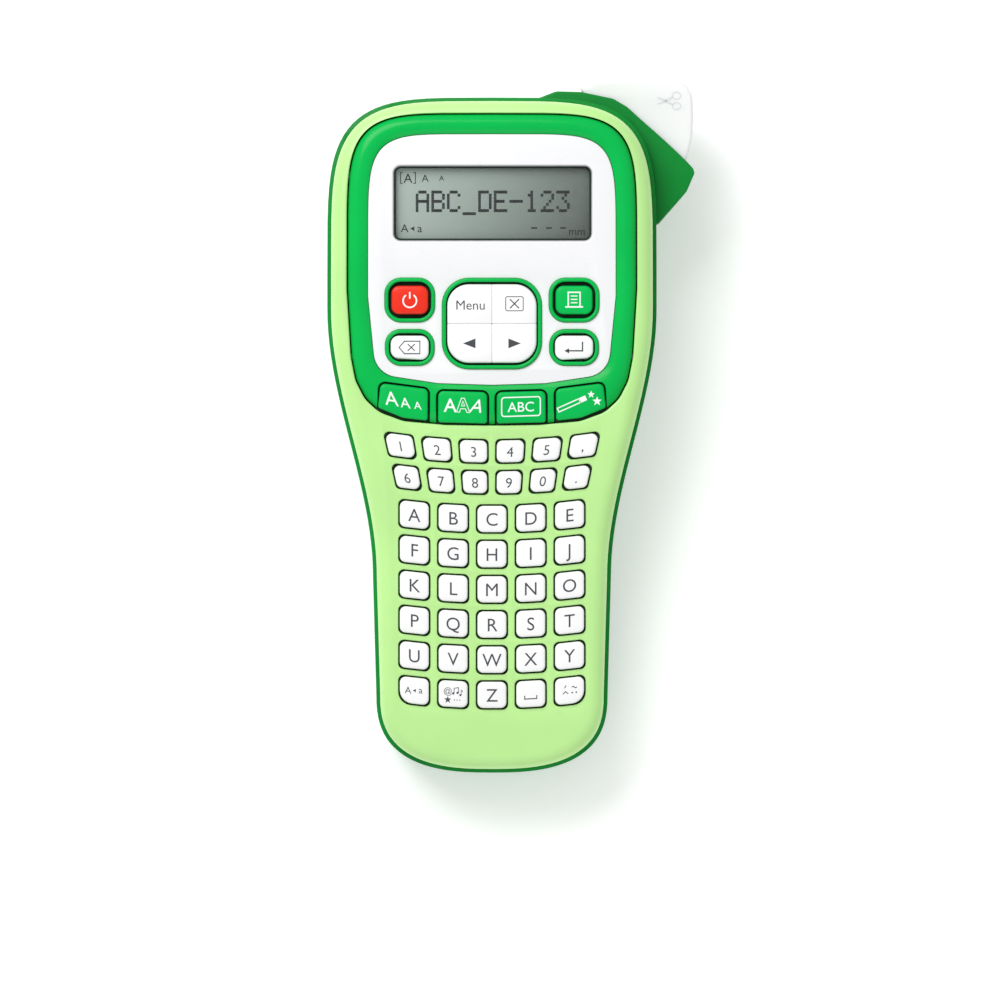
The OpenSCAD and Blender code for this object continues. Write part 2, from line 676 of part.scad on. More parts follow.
// Six splines, each with a flat crest, round a hub
spline_points = [for (q = [0:60:300], k = [[-18, 0], [-11, 1], [11, 1], [18, 0]])
    let (r = k[1] > 0 ? spline_r : spindle_r) r * [cos(q + k[0]), sin(q + k[0])]];
module ribbon_spindle() color([0.85, 0.85, 0.82]) seat()
    translate([ribbon_mid[0], ribbon_mid[1], spindle_low]) {
        linear_extrude(spindle_len) polygon(spline_points);
        translate([0, 0, spindle_len - 1])
            cylinder(r = axle_r, h = plate_top - end_gap - spindle_low - spindle_len + 1);
    }
module gear_axles() color("silver") seat()
    translate([reduction_mid[0], reduction_mid[1], bay_roof - bay_roof_t])
        cylinder(r = axle_r, h = plate_top - bay_roof + bay_roof_t);
motor_top = bay_roof - bay_roof_t;
module feed_motor() color([0.7, 0.7, 0.72]) seat()
    translate([motor_mid[0], motor_mid[1], 0]) {
        translate([0, 0, motor_top - motor_len]) cylinder(r = motor_r, h = motor_len);
        translate([0, 0, motor_top - tiny]) cylinder(r = 2, h = 1);
        translate([0, 0, motor_top - tiny]) cylinder(r = 0.75, h = gear_top - end_gap - motor_top);
        translate([0, 0, motor_top - motor_len - 1.2]) cylinder(r = 2.4, h = 1.3);
    }
module dc_socket() color([0.12, 0.12, 0.13]) seat()
    translate([-head_w / 2 + 0.4, socket_v, socket_mid]) rotate([0, 90, 0])
        difference() {
            translate([-socket_w[0] / 2 + 0.1, -socket_w[1] / 2 + 0.1, 0])
                cube([socket_w[0] - 0.2, socket_w[1] - 0.2, socket_w[2]]);
            difference() {
                translate([0, 0, -1]) cylinder(r = 3, h = socket_w[2] - 1);
                translate([0, 0, -1.5]) cylinder(r = 0.9, h = socket_w[2] + 1);
            }
        }
module case_screws() color("silver") seat()
    for (p = screw_spots) translate([p[0], p[1], 0])
        difference() {
            union() {
                translate([0, 0, recess_w - 1.6]) cylinder(r = screw_head_r, h = 1.6);
                translate([0, 0, recess_w - tiny]) cylinder(r = screw_r, h = screw_reach - recess_w);
            }
            translate([-1.5, -0.3, recess_w - 2]) cube([3, 0.6, 1.2]);
            translate([-0.3, -1.5, recess_w - 2]) cube([0.6, 3, 1.2]);
        }

// ---- Keys ----
white = [0.97, 0.97, 0.98];
stem_r = 1.5;
stem_foot = mat_top + key_travel + 0.15;
dome_edge = 0.5;
// A key cap with a flange that holds it behind its hole, and a stem that stands over the mat
module cap(quad, r, flange_top, top, stem_at) {
    slab(rounded(quad, r), flange_top - flange_t, top - dome_edge);
    slab(rounded(grown(quad, -dome_edge), smaller(r, dome_edge)), flange_top - flange_t, top);
    slab(rounded(grown(quad, flange_reach), r), flange_top - flange_t, flange_top);
    for (p = stem_at) translate([p[0], p[1], stem_foot]) cylinder(r = stem_r, h = flange_top - stem_foot);
}
function smaller(r, d) = is_list(r) ? [for (x = r) x - d] : r - d;
function middle(q) = (q[0] + q[1] + q[2] + q[3]) / 4;
panel_key_top = face_w + 1.2;
frame_flange = floor_plate_w - 0.1;
face_flange = face_back - 0.25;
module upper_key(side)
    cap(box_at([side * side_key_u, upper_key_v], upper_key_w, upper_key_h), key_round + 0.4, frame_flange,
        panel_key_top, [[side * side_key_u, upper_key_v]]);
module lower_key(side)
    cap(box_at([side * side_key_u, lower_key_v], lower_key_w, lower_key_h), key_round + 0.4, frame_flange,
        panel_key_top, [[side * side_key_u, lower_key_v]]);
// A quarter of the pad starts beside the split, on the side that the sign says
pad_reach = 40;
function quarter_start(sign) = sign > 0 ? pad_split / 2 : -pad_reach - pad_split / 2;
// One quarter of the pad: x and y say which
module pad_key(x, y) {
    grow = flange_reach;
    for (level = [[0, frame_flange - flange_t, panel_key_top - dome_edge],
        [-dome_edge, frame_flange - flange_t, panel_key_top], [grow, frame_flange - flange_t, frame_flange]])
        intersection() {
            slab(rounded(grown(box_at(pad_mid, pad_w, pad_h), level[0]), pad_round + level[0]), level[1], level[2]);
            translate([quarter_start(x), pad_v + quarter_start(y), 0]) cube([pad_reach, pad_reach, 2 * face_w]);
        }
    translate([x * pad_w / 4, pad_v + y * pad_h / 4, stem_foot]) cylinder(r = stem_r, h = frame_flange - stem_foot);
}
module function_key(side, inner) {
    q = ordered(function_quad(side, inner));
    cap(q, function_round, frame_flange, face_w + 1.1, [middle(q)]);
}
module number_row(upper)
    for (col = number_cols) let (q = upper ? upper_quad(col) : lower_quad(col))
        cap(q, key_round, face_flange, key_top, [middle(q)]);
module letter_row(row)
    for (col = letter_cols) let (q = letter_quad(col, row))
        cap(q, letter_radius(col, row), face_flange, key_top, [middle(q)]);
module power_key() color([0.92, 0.24, 0.16]) seat() upper_key(-1);
module print_key() color([0, 0.65, 0.28]) seat() upper_key(1);
module backspace_key() color(white) seat() lower_key(-1);
module enter_key() color(white) seat() lower_key(1);
module menu_key() color(white) seat() pad_key(-1, 1);
module cancel_key() color(white) seat() pad_key(1, 1);
module cursor_left_key() color(white) seat() pad_key(-1, -1);
module cursor_right_key() color(white) seat() pad_key(1, -1);
module text_size_key() color([0, 0.6, 0.26]) seat() function_key(-1, false);
module text_style_key() color([0, 0.6, 0.26]) seat() function_key(-1, true);
module frame_key() color([0, 0.6, 0.26]) seat() function_key(1, true);
module decoration_key() color([0, 0.6, 0.26]) seat() function_key(1, false);
module number_keys_upper() color(white) seat() number_row(true);
module number_keys_lower() color(white) seat() number_row(false);
module letter_keys_a_to_e() color(white) seat() letter_row(0);
module letter_keys_f_to_j() color(white) seat() letter_row(1);
module letter_keys_k_to_o() color(white) seat() letter_row(2);
module letter_keys_p_to_t() color(white) seat() letter_row(3);
module letter_keys_u_to_y() color(white) seat() letter_row(4);
module letter_keys_bottom() color(white) seat() letter_row(5);

// ---- Print head, tape and cassette ----
tape_low = tape_mid - tape_w / 2;
tape_high = tape_mid + tape_w / 2;
head_s = [19.5, 28.5];
head_t = 1.2;
head_n = tape_gap + tape_t / 2;
module bar(s0, s1, n0, n1, w0, w1) slab([wing_at(s0, n0), wing_at(s0, n1), wing_at(s1, n1), wing_at(s1, n0)], w0, w1);
module print_head() color([0.9, 0.88, 0.82]) seat()
    bar(head_s[0], head_s[1], head_n, head_n + head_t, tape_low - 0.5, bay_roof - bay_roof_t);
module head_heat_sink() color("silver") seat()
    bar(head_s[0] - 0.8, head_s[1] + 0.3, head_n + head_t, head_n + head_t + sink_t, tape_low + 1,
        bay_roof - bay_roof_t);
sink_t = 1.2;
post_r = 1.5;
post_s = 37;
post_n = -post_r - tape_gap - tape_t / 2;
module tape_guide_post() color("silver") seat() {
    c = wing_at(post_s, post_n);
    translate([c[0], c[1], tape_low - 1.5]) cylinder(r = post_r, h = bay_roof - bay_roof_t - tape_low + 1.5);
    translate([c[0], c[1], tape_low - 1.5]) cylinder(r = post_r + 0.9, h = 0.8);
}
cassette_left = -34;
cassette_v0 = head_v - 11.5;
cassette_h = 46.8;
cassette_wall = 1.2;
chamfer_n = -14.8;
module cassette_block(d, w0, w1)
    intersection() {
        translate([cassette_left + d, cassette_v0 + d, w0]) cube([cassette_w - 2 * d, cassette_h - 2 * d, w1 - w0]);
        slab([wing_at(-40, chamfer_n - d), wing_at(90, chamfer_n - d), wing_at(90, -90), wing_at(-40, -90)],
            w0 - past, w1 + past);
    }
roll_mid = [8, head_v + 7.5];
roll_r = 13;
spool_r = 7;
spool_bore = 3.2;
module tape_cassette() color([0.2, 0.2, 0.22]) seat()
    difference() {
        cassette_block(0, cassette_top - cassette_t, cassette_top);
        cassette_block(cassette_wall, cassette_top - cassette_t + cassette_wall, cassette_top - cassette_wall);
        translate([ribbon_mid[0], ribbon_mid[1], cassette_top - 3]) cylinder(r = spool_bore + 0.4, h = 5);
        // Slot that the tape leaves by
        bar(outlet_s - 1, outlet_s + 1, chamfer_n - 4, chamfer_n + 3, tape_low - 0.5, tape_high + 0.5);
    }
outlet_s = post_s + post_r + tape_gap + tape_t / 2;
module tape_roll() color("white") seat()
    translate([roll_mid[0], roll_mid[1], tape_low])
        difference() {
            cylinder(r = roll_r, h = tape_w);
            translate([0, 0, -1]) cylinder(r = 5, h = tape_w + 2);
        }
module ribbon_spool() color([0.1, 0.1, 0.12]) seat()
    translate([ribbon_mid[0], ribbon_mid[1], tape_low])
        difference() {
            cylinder(r = spool_r, h = tape_w);
            translate([0, 0, -1]) cylinder(r = spool_bore, h = tape_w + 2);
        }
tape_end_s = 13.8;
module tape_strip() color("white") seat()
    difference() {
        union() {
            bar(tape_end_s, post_s, -tape_t / 2, tape_t / 2, tape_low, tape_high);
            bar(outlet_s - tape_t / 2, outlet_s + tape_t / 2, chamfer_n, post_n, tape_low, tape_high);
            intersection() {
                bend = wing_at(post_s, post_n);
                translate([bend[0], bend[1], tape_low])
                    difference() {
                        cylinder(r = post_r + tape_gap + tape_t, h = tape_w);
                        translate([0, 0, -1]) cylinder(r = post_r + tape_gap, h = tape_w + 2);
                    }
                bar(post_s, post_s + 5, post_n, post_n + 5, tape_low - 1, tape_high + 1);
            }
        }
    }

// ---- Cutter ----
lever_top = wing_top - wing_plate - lever_gap;
spring_room = 4.6;
lever_low = wing_bottom + wing_plate + lever_gap + spring_room;
lever_t = 1.6;
hub_r = 4;
blade_s = 12;
corner_at = [head_w / 2, case_len];
lever_edge = concat(
    [corner_at + [-22.9, 3.3], corner_at + [-18, 5], corner_at + [-8.6, lever_rise],
     corner_at + [-0.9, lever_rise - 0.2]],
    [for (p = quarter(corner_at + [5.5, -1], 5.4, 6.2, 80, 0, 5)) p],
    [corner_at + [wing_reach - 0.4, -6.1], corner_at + [wing_reach - 0.7, -11.9], corner_at + [9.2, -18.1],
     corner_at + [7.4, -21.3]]
);
web_n = 6.4;
lever_outline = concat(lever_edge,
    [wing_at(7, web_n + lever_t), wing_at(11, web_n), wing_at(34, web_n - 1), wing_at(38, 6)]);
module lever_band(w0, w1)
    difference() {
        slab(lever_outline, w0, w1);
        translate([0, 0, -1]) slab(concat([for (p = lever_edge) p + inward(p) * lever_t],
            [wing_at(3, 5), wing_at(50, 4)]), w0, w1 + 2);
    }
lever_heart = corner_at + [-4, -6];
function inward(p) = (lever_heart - p) / norm(lever_heart - p);
module cutter_lever() color([0.95, 0.95, 0.95]) seat()
    difference() {
        union() {
            slab(lever_outline, lever_top - lever_t, lever_top);
            lever_band(lever_low, lever_top);
            translate([pivot[0], pivot[1], lever_low]) cylinder(r = hub_r, h = lever_top - lever_low);
            bar(blade_s - 1, 32, web_n, web_n + lever_t, lever_low, lever_top);
            bar(blade_s - 1.4, blade_s + 1.4, web_n - 1.4, web_n + 0.5, lever_low, lever_top);
        }
        translate([pivot[0], pivot[1], lever_low - 1]) cylinder(r = pivot_d / 2 + bore_gap, h = 40);
        bar(blade_s - blade_half, blade_s + blade_half, web_n - 3, web_n - kerf_n, tape_low - 1, tape_high + 1);
    }
blade_tip_n = 2.5;
module cutter_blade() color("silver") seat()
    slab([wing_at(blade_s - blade_half, web_n - kerf_n), wing_at(blade_s + blade_half, web_n - kerf_n),
        wing_at(blade_s + blade_half, blade_tip_n + bevel_n), wing_at(blade_s, blade_tip_n),
        wing_at(blade_s - blade_half, blade_tip_n + bevel_n)], tape_low - 1, tape_high + 1);
blade_half = 0.25;
kerf_n = 0.4;
bevel_n = 0.6;
module blade_anvil() color("silver") seat()
    bar(13.9, 15.1, -5, -0.3, tape_low - 1, bay_roof - bay_roof_t);
module lever_pivot_pin() color("silver") seat()
    translate([pivot[0], pivot[1], wing_bottom]) cylinder(r = pivot_d / 2, h = wing_top - wing_bottom);
// Torsion spring: a helix of wire round the hub's upper end, swept as rings of sides
spring_wire = 0.4;
spring_turns = 3;
spring_sides = 8;
spring_rings = 60;
spring_r = pivot_d / 2 + 0.9;
spring_pitch = 1.1;
module helix(r, wire, pitch, turns) {
    n = spring_rings;
    k = spring_sides;
    points = [for (i = [0:n], j = [0:k - 1]) let (q = 360 * turns * i / n, e = 360 * j / k)
        [(r + wire * cos(e)) * cos(q), (r + wire * cos(e)) * sin(q), pitch * turns * i / n + wire * sin(e)]];
    sides = [for (i = [0:n - 1], j = [0:k - 1])
        [i * k + j, i * k + (j + 1) % k, (i + 1) * k + (j + 1) % k, (i + 1) * k + j]];
    polyhedron(points, concat([[for (j = [k - 1:-1:0]) j]], sides, [[for (j = [0:k - 1]) n * k + j]]));
}
module lever_spring() color("silver") seat()
    translate([pivot[0], pivot[1], spring_low]) helix(spring_r, spring_wire, spring_pitch, spring_turns);
spring_low = wing_bottom + wing_plate + spring_wire;

// ---- Back cover ----
module back_cover() color([0.11, 0.62, 0.27]) seat() {
    intersection() {
        rear_shell();
        slab(cover_outline(cover_gap), -60, cover_cut_top);
    }
    // Ribs that press the cassette home
    for (u = [-22, 18])
        translate([u, cassette_v0 + 6, 0]) intersection() {
            translate([-u, -cassette_v0 - 6, 0]) rear_solid(wall - 0.2);
            translate([-0.8, 0, -60]) cube([1.6, 30, 60 + cassette_top - cassette_t - 0.4]);
        }
}

// ---- Power ----
module batteries() color([0.75, 0.62, 0.3]) seat()
    for (col = [-1:1], row = [0, 1])
        let (u = col * (cell_d + bay_gap), v0 = cell_v0 + contact_gap + row * (cell_len + contact_gap),
            flip = (col + row) % 2 == 0)
        translate([u, v0, cell_w]) rotate([-90, 0, 0]) {
            translate([0, 0, flip ? 0 : 1]) cylinder(r = cell_d / 2, h = cell_len - 1);
            translate([0, 0, flip ? cell_len - 1 - tiny : 0]) cylinder(r = 1.9, h = 1 + tiny);
        }
contact_t = 0.3;
module battery_contacts() color("silver") seat()
    for (col = [-1:1], v = [cell_v0 + 0.1, cell_v0 + cell_bay_len - 0.1 - contact_t]) {
        translate([col * (cell_d + bay_gap) - 4, v, cell_w - 4]) cube([8, contact_t, 8]);
        translate([col * (cell_d + bay_gap), v + contact_t / 2, cell_w]) rotate([-90, 0, 0])
            for (r = [[3.4, 0], [2.6, 0.7], [1.8, 1.3]])
                translate([0, 0, (v < cell_v0 + 5 ? 1 : -1) * (r[1] + 0.3)])
                    rotate_extrude() translate([r[0], 0]) circle(r = 0.3, $fn = 16);
    }

rear_case();
front_case();
display_frame();
face_panel();
display_window();
lcd_module();
key_mat();
circuit_board();
chassis_plate();
case_screws();
dc_socket();
power_key();
print_key();
backspace_key();
enter_key();
menu_key();
cancel_key();
cursor_left_key();
cursor_right_key();
text_size_key();
text_style_key();
frame_key();
decoration_key();
number_keys_upper();
number_keys_lower();
letter_keys_a_to_e();
letter_keys_f_to_j();
letter_keys_k_to_o();
letter_keys_p_to_t();
letter_keys_u_to_y();
letter_keys_bottom();
feed_motor();
motor_pinion();
reduction_gear();
platen_gear();
platen_shaft();
platen_roller();
ribbon_gear();
ribbon_spindle();
gear_axles();
print_head();
head_heat_sink();
tape_guide_post();
tape_cassette();
tape_roll();
ribbon_spool();
tape_strip();
cutter_lever();
cutter_blade();
blade_anvil();
lever_pivot_pin();
lever_spring();
back_cover();
batteries();
battery_contacts();
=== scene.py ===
import json
import math
import bpy
import mathutils
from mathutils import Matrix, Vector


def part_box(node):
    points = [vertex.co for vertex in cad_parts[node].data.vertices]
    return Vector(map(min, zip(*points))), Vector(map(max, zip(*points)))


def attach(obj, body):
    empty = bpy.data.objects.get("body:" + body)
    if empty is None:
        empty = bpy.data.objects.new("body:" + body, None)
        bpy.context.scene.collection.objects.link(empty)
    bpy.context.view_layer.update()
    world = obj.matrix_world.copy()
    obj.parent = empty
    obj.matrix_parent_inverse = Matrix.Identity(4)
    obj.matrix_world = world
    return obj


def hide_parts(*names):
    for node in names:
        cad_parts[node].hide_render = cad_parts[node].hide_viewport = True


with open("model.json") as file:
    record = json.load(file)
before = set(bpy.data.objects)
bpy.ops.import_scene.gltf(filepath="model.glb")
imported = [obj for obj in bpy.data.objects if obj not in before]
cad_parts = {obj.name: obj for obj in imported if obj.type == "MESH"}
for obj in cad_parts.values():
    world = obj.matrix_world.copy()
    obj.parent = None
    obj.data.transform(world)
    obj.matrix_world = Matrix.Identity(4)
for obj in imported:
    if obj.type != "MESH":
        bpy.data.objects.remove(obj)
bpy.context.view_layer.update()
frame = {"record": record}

MM = 0.001

# ---------------------------------------------------------------- the case's own frame
# The case is drawn with u to the right, v towards the head and w out of the face, in millimetres,
# and then seated: tilted so that its heel and its head rest on the floor.
CASE_LEN = 201.3
HEAD_W = 98.2
GRIP_W = 71.0
FACE_W = 12.0
WALL = 2.0
RIM = 1.2
HEEL_D = 19.0
GRIP_D = 17.0
FOOT_H = 0.8
HEAD_V = CASE_LEN - 51.3
HEEL_V = 24.0
GRIP_V = 59.0
HEAD_BLEND = 12.0
HEEL_POWER = 2.7
HEAD_POWER = 4.2
CORNER_STEPS = 22
SIDE_STEPS = 34
PIVOT_LEVEL = -19.0
FACE_BACK = FACE_W - WALL
WING_EXIT = (HEAD_W / 2 + 5.4, HEAD_V + 20.4)

joints = {j["name"]: j for j in frame["record"]["behaviour"]["joints"]}
press = mathutils.Vector(joints["power_key_press"]["axis"])
TILT = math.atan2(press.y, -press.z)
hinge = joints["cutter_lever_press"]


def wing_at(along, across):
    return (WING_EXIT[0] - 0.766 * along + 0.643 * across, WING_EXIT[1] + 0.643 * along + 0.766 * across)


PIVOT = wing_at(34, 5.5)
turned = mathutils.Matrix.Rotation(TILT, 4, "X")
# The lever's pivot fixes the frame sideways and along, and the feet fix it in height
spot = turned @ mathutils.Vector((*PIVOT, PIVOT_LEVEL))
shift = mathutils.Vector((
    hinge["pos_m"][0] / MM - spot.x, hinge["pos_m"][1] / MM - spot.y, HEEL_D * math.cos(TILT)))
SEAT = mathutils.Matrix.Scale(MM, 4) @ mathutils.Matrix.Translation(shift) @ turned


# ---------------------------------------------------------------- outlines
def smooth(t):
    return t * t * (3 - 2 * t)


def side_u(v):
    if v < GRIP_V:
        return GRIP_W / 2 - 1 + (v - HEEL_V) / (GRIP_V - HEEL_V)
    if v < HEAD_V - HEAD_BLEND:
        return GRIP_W / 2 + (HEAD_W - GRIP_W) / 2 * smooth((v - GRIP_V) / (HEAD_V - HEAD_BLEND - GRIP_V))
    return HEAD_W / 2


def arc(low, high, steps):
    return [low + (high - low) * i / steps for i in range(steps + 1)]


def superellipse(a, b, power, q):
    return a * abs(math.cos(q)) ** (2 / power), b * abs(math.sin(q)) ** (2 / power)


def case_right(d):
    """Right half of the case outline shrunk by d, from the heel's middle to the head's middle."""
    points = []
    for i in range(CORNER_STEPS + 1):
        u, v = superellipse(GRIP_W / 2 - 1 - d, HEEL_V - d, HEEL_POWER, math.pi / 2 * (1 - i / CORNER_STEPS))
        points.append((u, HEEL_V - v))
    for i in range(1, SIDE_STEPS):
        v = HEEL_V + (HEAD_V - HEEL_V) * i / SIDE_STEPS
        points.append((side_u(v) - d, v))
    for i in range(CORNER_STEPS + 1):
        u, v = superellipse(HEAD_W / 2 - d, CASE_LEN - HEAD_V - d, HEAD_POWER, math.pi / 2 * i / CORNER_STEPS)
        points.append((u, HEAD_V + v))
    return points


def both_sides(right):
    """A closed outline from its right half, which starts and ends on the middle line."""
    return right + [(-u, v) for u, v in reversed(right[1:-1])]


def case_outline(d):
    return both_sides(case_right(d))


def round_path(corners, radius, steps=6, closed=True):
    """A path with each corner turned into an arc. radius is one number or one for each corner."""
    points = []
    count = len(corners)
    for i, p in enumerate(corners):
        if not closed and i in (0, count - 1):
            points.append(p)
            continue
        r = radius[i] if isinstance(radius, list) else radius
        here = mathutils.Vector(p)
        a = (mathutils.Vector(corners[i - 1]) - here)
        b = (mathutils.Vector(corners[(i + 1) % count]) - here)
        half = a.angle(b) / 2
        reach = min(r / math.tan(half), 0.49 * min(a.length, b.length))
        r = reach * math.tan(half)
        a.normalize()
        b.normalize()
        middle = here + (a + b).normalized() * r / math.sin(half)
        start = here + a * reach - middle
        end = here + b * reach - middle
        for k in range(steps + 1):
            turn = start.slerp(end, k / steps).normalized() * r
            points.append(tuple(middle + turn))
    return points


def rectangle(u, v, w, h):
    return [(u - w / 2, v - h / 2), (u + w / 2, v - h / 2), (u + w / 2, v + h / 2), (u - w / 2, v + h / 2)]


def grown(corners, d):
    """A quadrilateral, given anticlockwise, with every side moved out by d."""
    out = []
    count = len(corners)
    for i, p in enumerate(corners):
        a, b = corners[i - 1], corners[(i + 1) % count]
        e = mathutils.Vector((p[0] - a[0], p[1] - a[1])).normalized()
        f = mathutils.Vector((b[0] - p[0], b[1] - p[1])).normalized()
        m, n = mathutils.Vector((e.y, -e.x)), mathutils.Vector((f.y, -f.x))
        q = mathutils.Vector(p) + d * (m + n) / (1 + m.dot(n))
        out.append((q.x, q.y))
    return out


def evenly(path, count):
    """The same closed path with count points, evenly spaced along it."""
    loop = list(path) + [path[0]]
    lengths = [math.dist(loop[i], loop[i + 1]) for i in range(len(path))]
    total = sum(lengths)
    points, k, walked = [], 0, 0.0
    for i in range(count):
        want = total * i / count
        while k < len(lengths) - 1 and walked + lengths[k] < want:
            walked += lengths[k]
            k += 1
        t = (want - walked) / lengths[k] if lengths[k] else 0
        a, b = loop[k], loop[k + 1]
        points.append((a[0] + (b[0] - a[0]) * t, a[1] + (b[1] - a[1]) * t))
    return points


# ---------------------------------------------------------------- modelling helpers
def clear():
    if bpy.context.mode != "OBJECT":
        bpy.ops.object.mode_set(mode="OBJECT")
    bpy.ops.object.select_all(action="DESELECT")


def only(piece):
    clear()
    bpy.context.view_layer.objects.active = piece
    piece.select_set(True)


def edit(piece):
    only(piece)
    bpy.ops.object.mode_set(mode="EDIT")
    bpy.ops.mesh.select_mode(type="VERT")
    bpy.ops.mesh.select_all(action="SELECT")


def done():
    bpy.ops.object.mode_set(mode="OBJECT")


def fix_normals(piece):
    edit(piece)
    bpy.ops.mesh.remove_doubles(threshold=0.0001)
    bpy.ops.mesh.normals_make_consistent(inside=False)
    done()


def prism(name, outline, low, high):
    """An outline raised from w = low to w = high."""
    clear()
    bpy.ops.mesh.primitive_circle_add(vertices=len(outline), radius=1, fill_type="NGON")
    piece = bpy.context.object
    piece.name = name
    for vertex, p in zip(piece.data.vertices, outline):
        vertex.co = (p[0], p[1], low)
    edit(piece)
    bpy.ops.mesh.extrude_region_move(TRANSFORM_OT_translate={"value": (0, 0, high - low)})
    done()
    fix_normals(piece)
    return piece


def skin(name, rings, start_cap=True, end_cap=True):
    """A surface through rings of equally many points, each (u, v, w), closed at its two ends."""
    clear()
    around, count = len(rings[0]), len(rings)
    bpy.ops.mesh.primitive_grid_add(x_subdivisions=around, y_subdivisions=count - 1, size=1)
    piece = bpy.context.object
    piece.name = name
    for j, ring in enumerate(rings):
        for i in range(around + 1):
            piece.data.vertices[j * (around + 1) + i].co = ring[i % around]
    edit(piece)
    bpy.ops.mesh.remove_doubles(threshold=0.00001)
    done()
    for wanted, ring in ((start_cap, rings[0]), (end_cap, rings[-1])):
        if wanted:
            edit(piece)
            bpy.ops.mesh.select_all(action="DESELECT")
            done()
            places = {tuple(round(c, 3) for c in p) for p in ring}
            for vertex in piece.data.vertices:
                if tuple(round(c, 3) for c in vertex.co) in places:
                    vertex.select = True
            bpy.ops.object.mode_set(mode="EDIT")
            bpy.ops.mesh.edge_face_add()
            done()
    fix_normals(piece)
    return piece


def level(outline, w):
    return [(u, v, w) for u, v in outline]


def cut(piece, cutters, keep="DIFFERENCE"):
    """Cuts the joined cutters out of the piece, or keeps what they share."""
    tool = join("cutter", cutters) if isinstance(cutters, list) else cutters
    only(piece)
    change = piece.modifiers.new("cut", "BOOLEAN")
    change.operation = keep
    change.solver = "EXACT"
    change.object = tool
    bpy.ops.object.modifier_apply(modifier="cut")
    remove(tool)
    return piece


def remove(piece):
    only(piece)
    bpy.ops.object.delete()


def join(name, parts):
    clear()
    for part in parts:
        part.select_set(True)
    bpy.context.view_layer.objects.active = parts[0]
    if len(parts) > 1:
        bpy.ops.object.join()
    piece = bpy.context.object
    piece.name = name
    return piece


def soften(piece, width, segments=2, angle=35):
    """Rounds every edge sharper than the angle."""
    only(piece)
    change = piece.modifiers.new("soften", "BEVEL")
    change.width = width
    change.segments = segments
    change.limit_method = "ANGLE"
    change.angle_limit = math.radians(angle)
    bpy.ops.object.modifier_apply(modifier="soften")
    return piece


def smoothed(piece, angle=32):
    only(piece)
    bpy.ops.object.shade_smooth_by_angle(angle=math.radians(angle))
    return piece


def seated(piece, body, *nodes, slot=None, finish=None, angle=32):
    """Seats a finished piece, gives it its finish and its body, and hides the nodes it stands for."""
    only(piece)
    piece.data.transform(SEAT)
    piece.data.update()
    smoothed(piece, angle)
    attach(piece, body)
    if nodes:
        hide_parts(*nodes)
    if finish:
        piece.data.materials.clear()
        piece.data.materials.append(finish)
    return piece


# ---------------------------------------------------------------- shader helpers
def linear(red, green, blue):
    """Screen colour from 0 to 255 to the linear values that shaders take."""
    return tuple(
        c / 255 / 12.92 if c / 255 <= 0.04045 else ((c / 255 + 0.055) / 1.055) ** 2.4
        for c in (red, green, blue))


class Value:
    """A socket that can be added, multiplied and so on."""

    def __init__(self, finish, socket):
        self.finish, self.socket = finish, socket

    def _math(self, operation, a, b):
        return self.finish.node("Math", {"operation": operation}, {0: a, 1: b})

    def __add__(self, other):
        return self._math("ADD", self, other)

    def __mul__(self, other):
        return self._math("MULTIPLY", self, other)


class Finish:
    """A material with a Principled shader, and the nodes that feed it."""

    def __init__(self, name, **fixed):
        self.material = bpy.data.materials.new(name)
        self.material.use_nodes = True
        self.nodes = self.material.node_tree.nodes
        self.links = self.material.node_tree.links
        self.shader = self.nodes["Principled BSDF"]
        for key, value in fixed.items():
            socket = self.shader.inputs[key.replace("_", " ")]
            socket.default_value = (*value, 1) if socket.type == "RGBA" and len(value) == 3 else value

    def node(self, kind, settings=None, inputs=None, output=0):
        made = self.nodes.new("ShaderNode" + kind)
        for key, value in (settings or {}).items():
            if key == "stops":
                ramp = made.color_ramp
                while len(ramp.elements) < len(value):
                    ramp.elements.new(0.5)
                for element, (place, colour) in zip(ramp.elements, value):
                    element.position = place
                    element.color = (*colour, 1)
            else:
                setattr(made, key, value)
        for key, value in (inputs or {}).items():
            socket = made.inputs[key]
            if isinstance(value, Value):
                self.links.new(value.socket, socket)
            else:
                socket.default_value = (*value, 1) if socket.type == "RGBA" and len(value) == 3 else value
        return Value(self, made.outputs[output])

    def place(self):
        return self.node("TexCoord", output="Object")

    def noise(self, scale, detail=2.0, rough=0.5, where=None):
        return self.node("TexNoise", inputs={
            "Vector": where or self.place(), "Scale": scale, "Detail": detail, "Roughness": rough})

    def spread(self, value, low, high, to_low=0.0, to_high=1.0):
        return self.node("MapRange", inputs={
            "Value": value, "From Min": low, "From Max": high, "To Min": to_low, "To Max": to_high})

    def mix(self, amount, a, b):
        return self.node("Mix", {"data_type": "RGBA"}, {0: amount, 6: a, 7: b}, output=2)

    def bump(self, height, strength, distance):
        return self.node("Bump", inputs={"Height": height, "Strength": strength, "Distance": distance})

    def feed(self, **links):
        for key, value in links.items():
            self.links.new(value.socket, self.shader.inputs[key.replace("_", " ")])
        return self


def moulded(name, colour, rough=0.4, grain=0.12, grain_scale=2600, tone=0.04, **fixed):
    """Moulded plastic: a fine spark-eroded grain, a little cloudiness, and uneven polish."""
    f = Finish(name, **fixed)
    cloud = f.noise(34, 3)
    fine = f.noise(grain_scale, 2, 0.6)
    wear = f.noise(260, 4, 0.6)
    darker = tuple(c * (1 - tone * 2) for c in colour)
    lighter = tuple(min(1, c * (1 + tone)) for c in colour)
    tint = f.mix(f.spread(cloud, 0.35, 0.65), darker, lighter)
    polish = f.spread(wear, 0.3, 0.7, rough - 0.05, rough + 0.06)
    return f.feed(
        Base_Color=tint, Roughness=polish, Normal=f.bump(fine, grain, 0.00008)).material


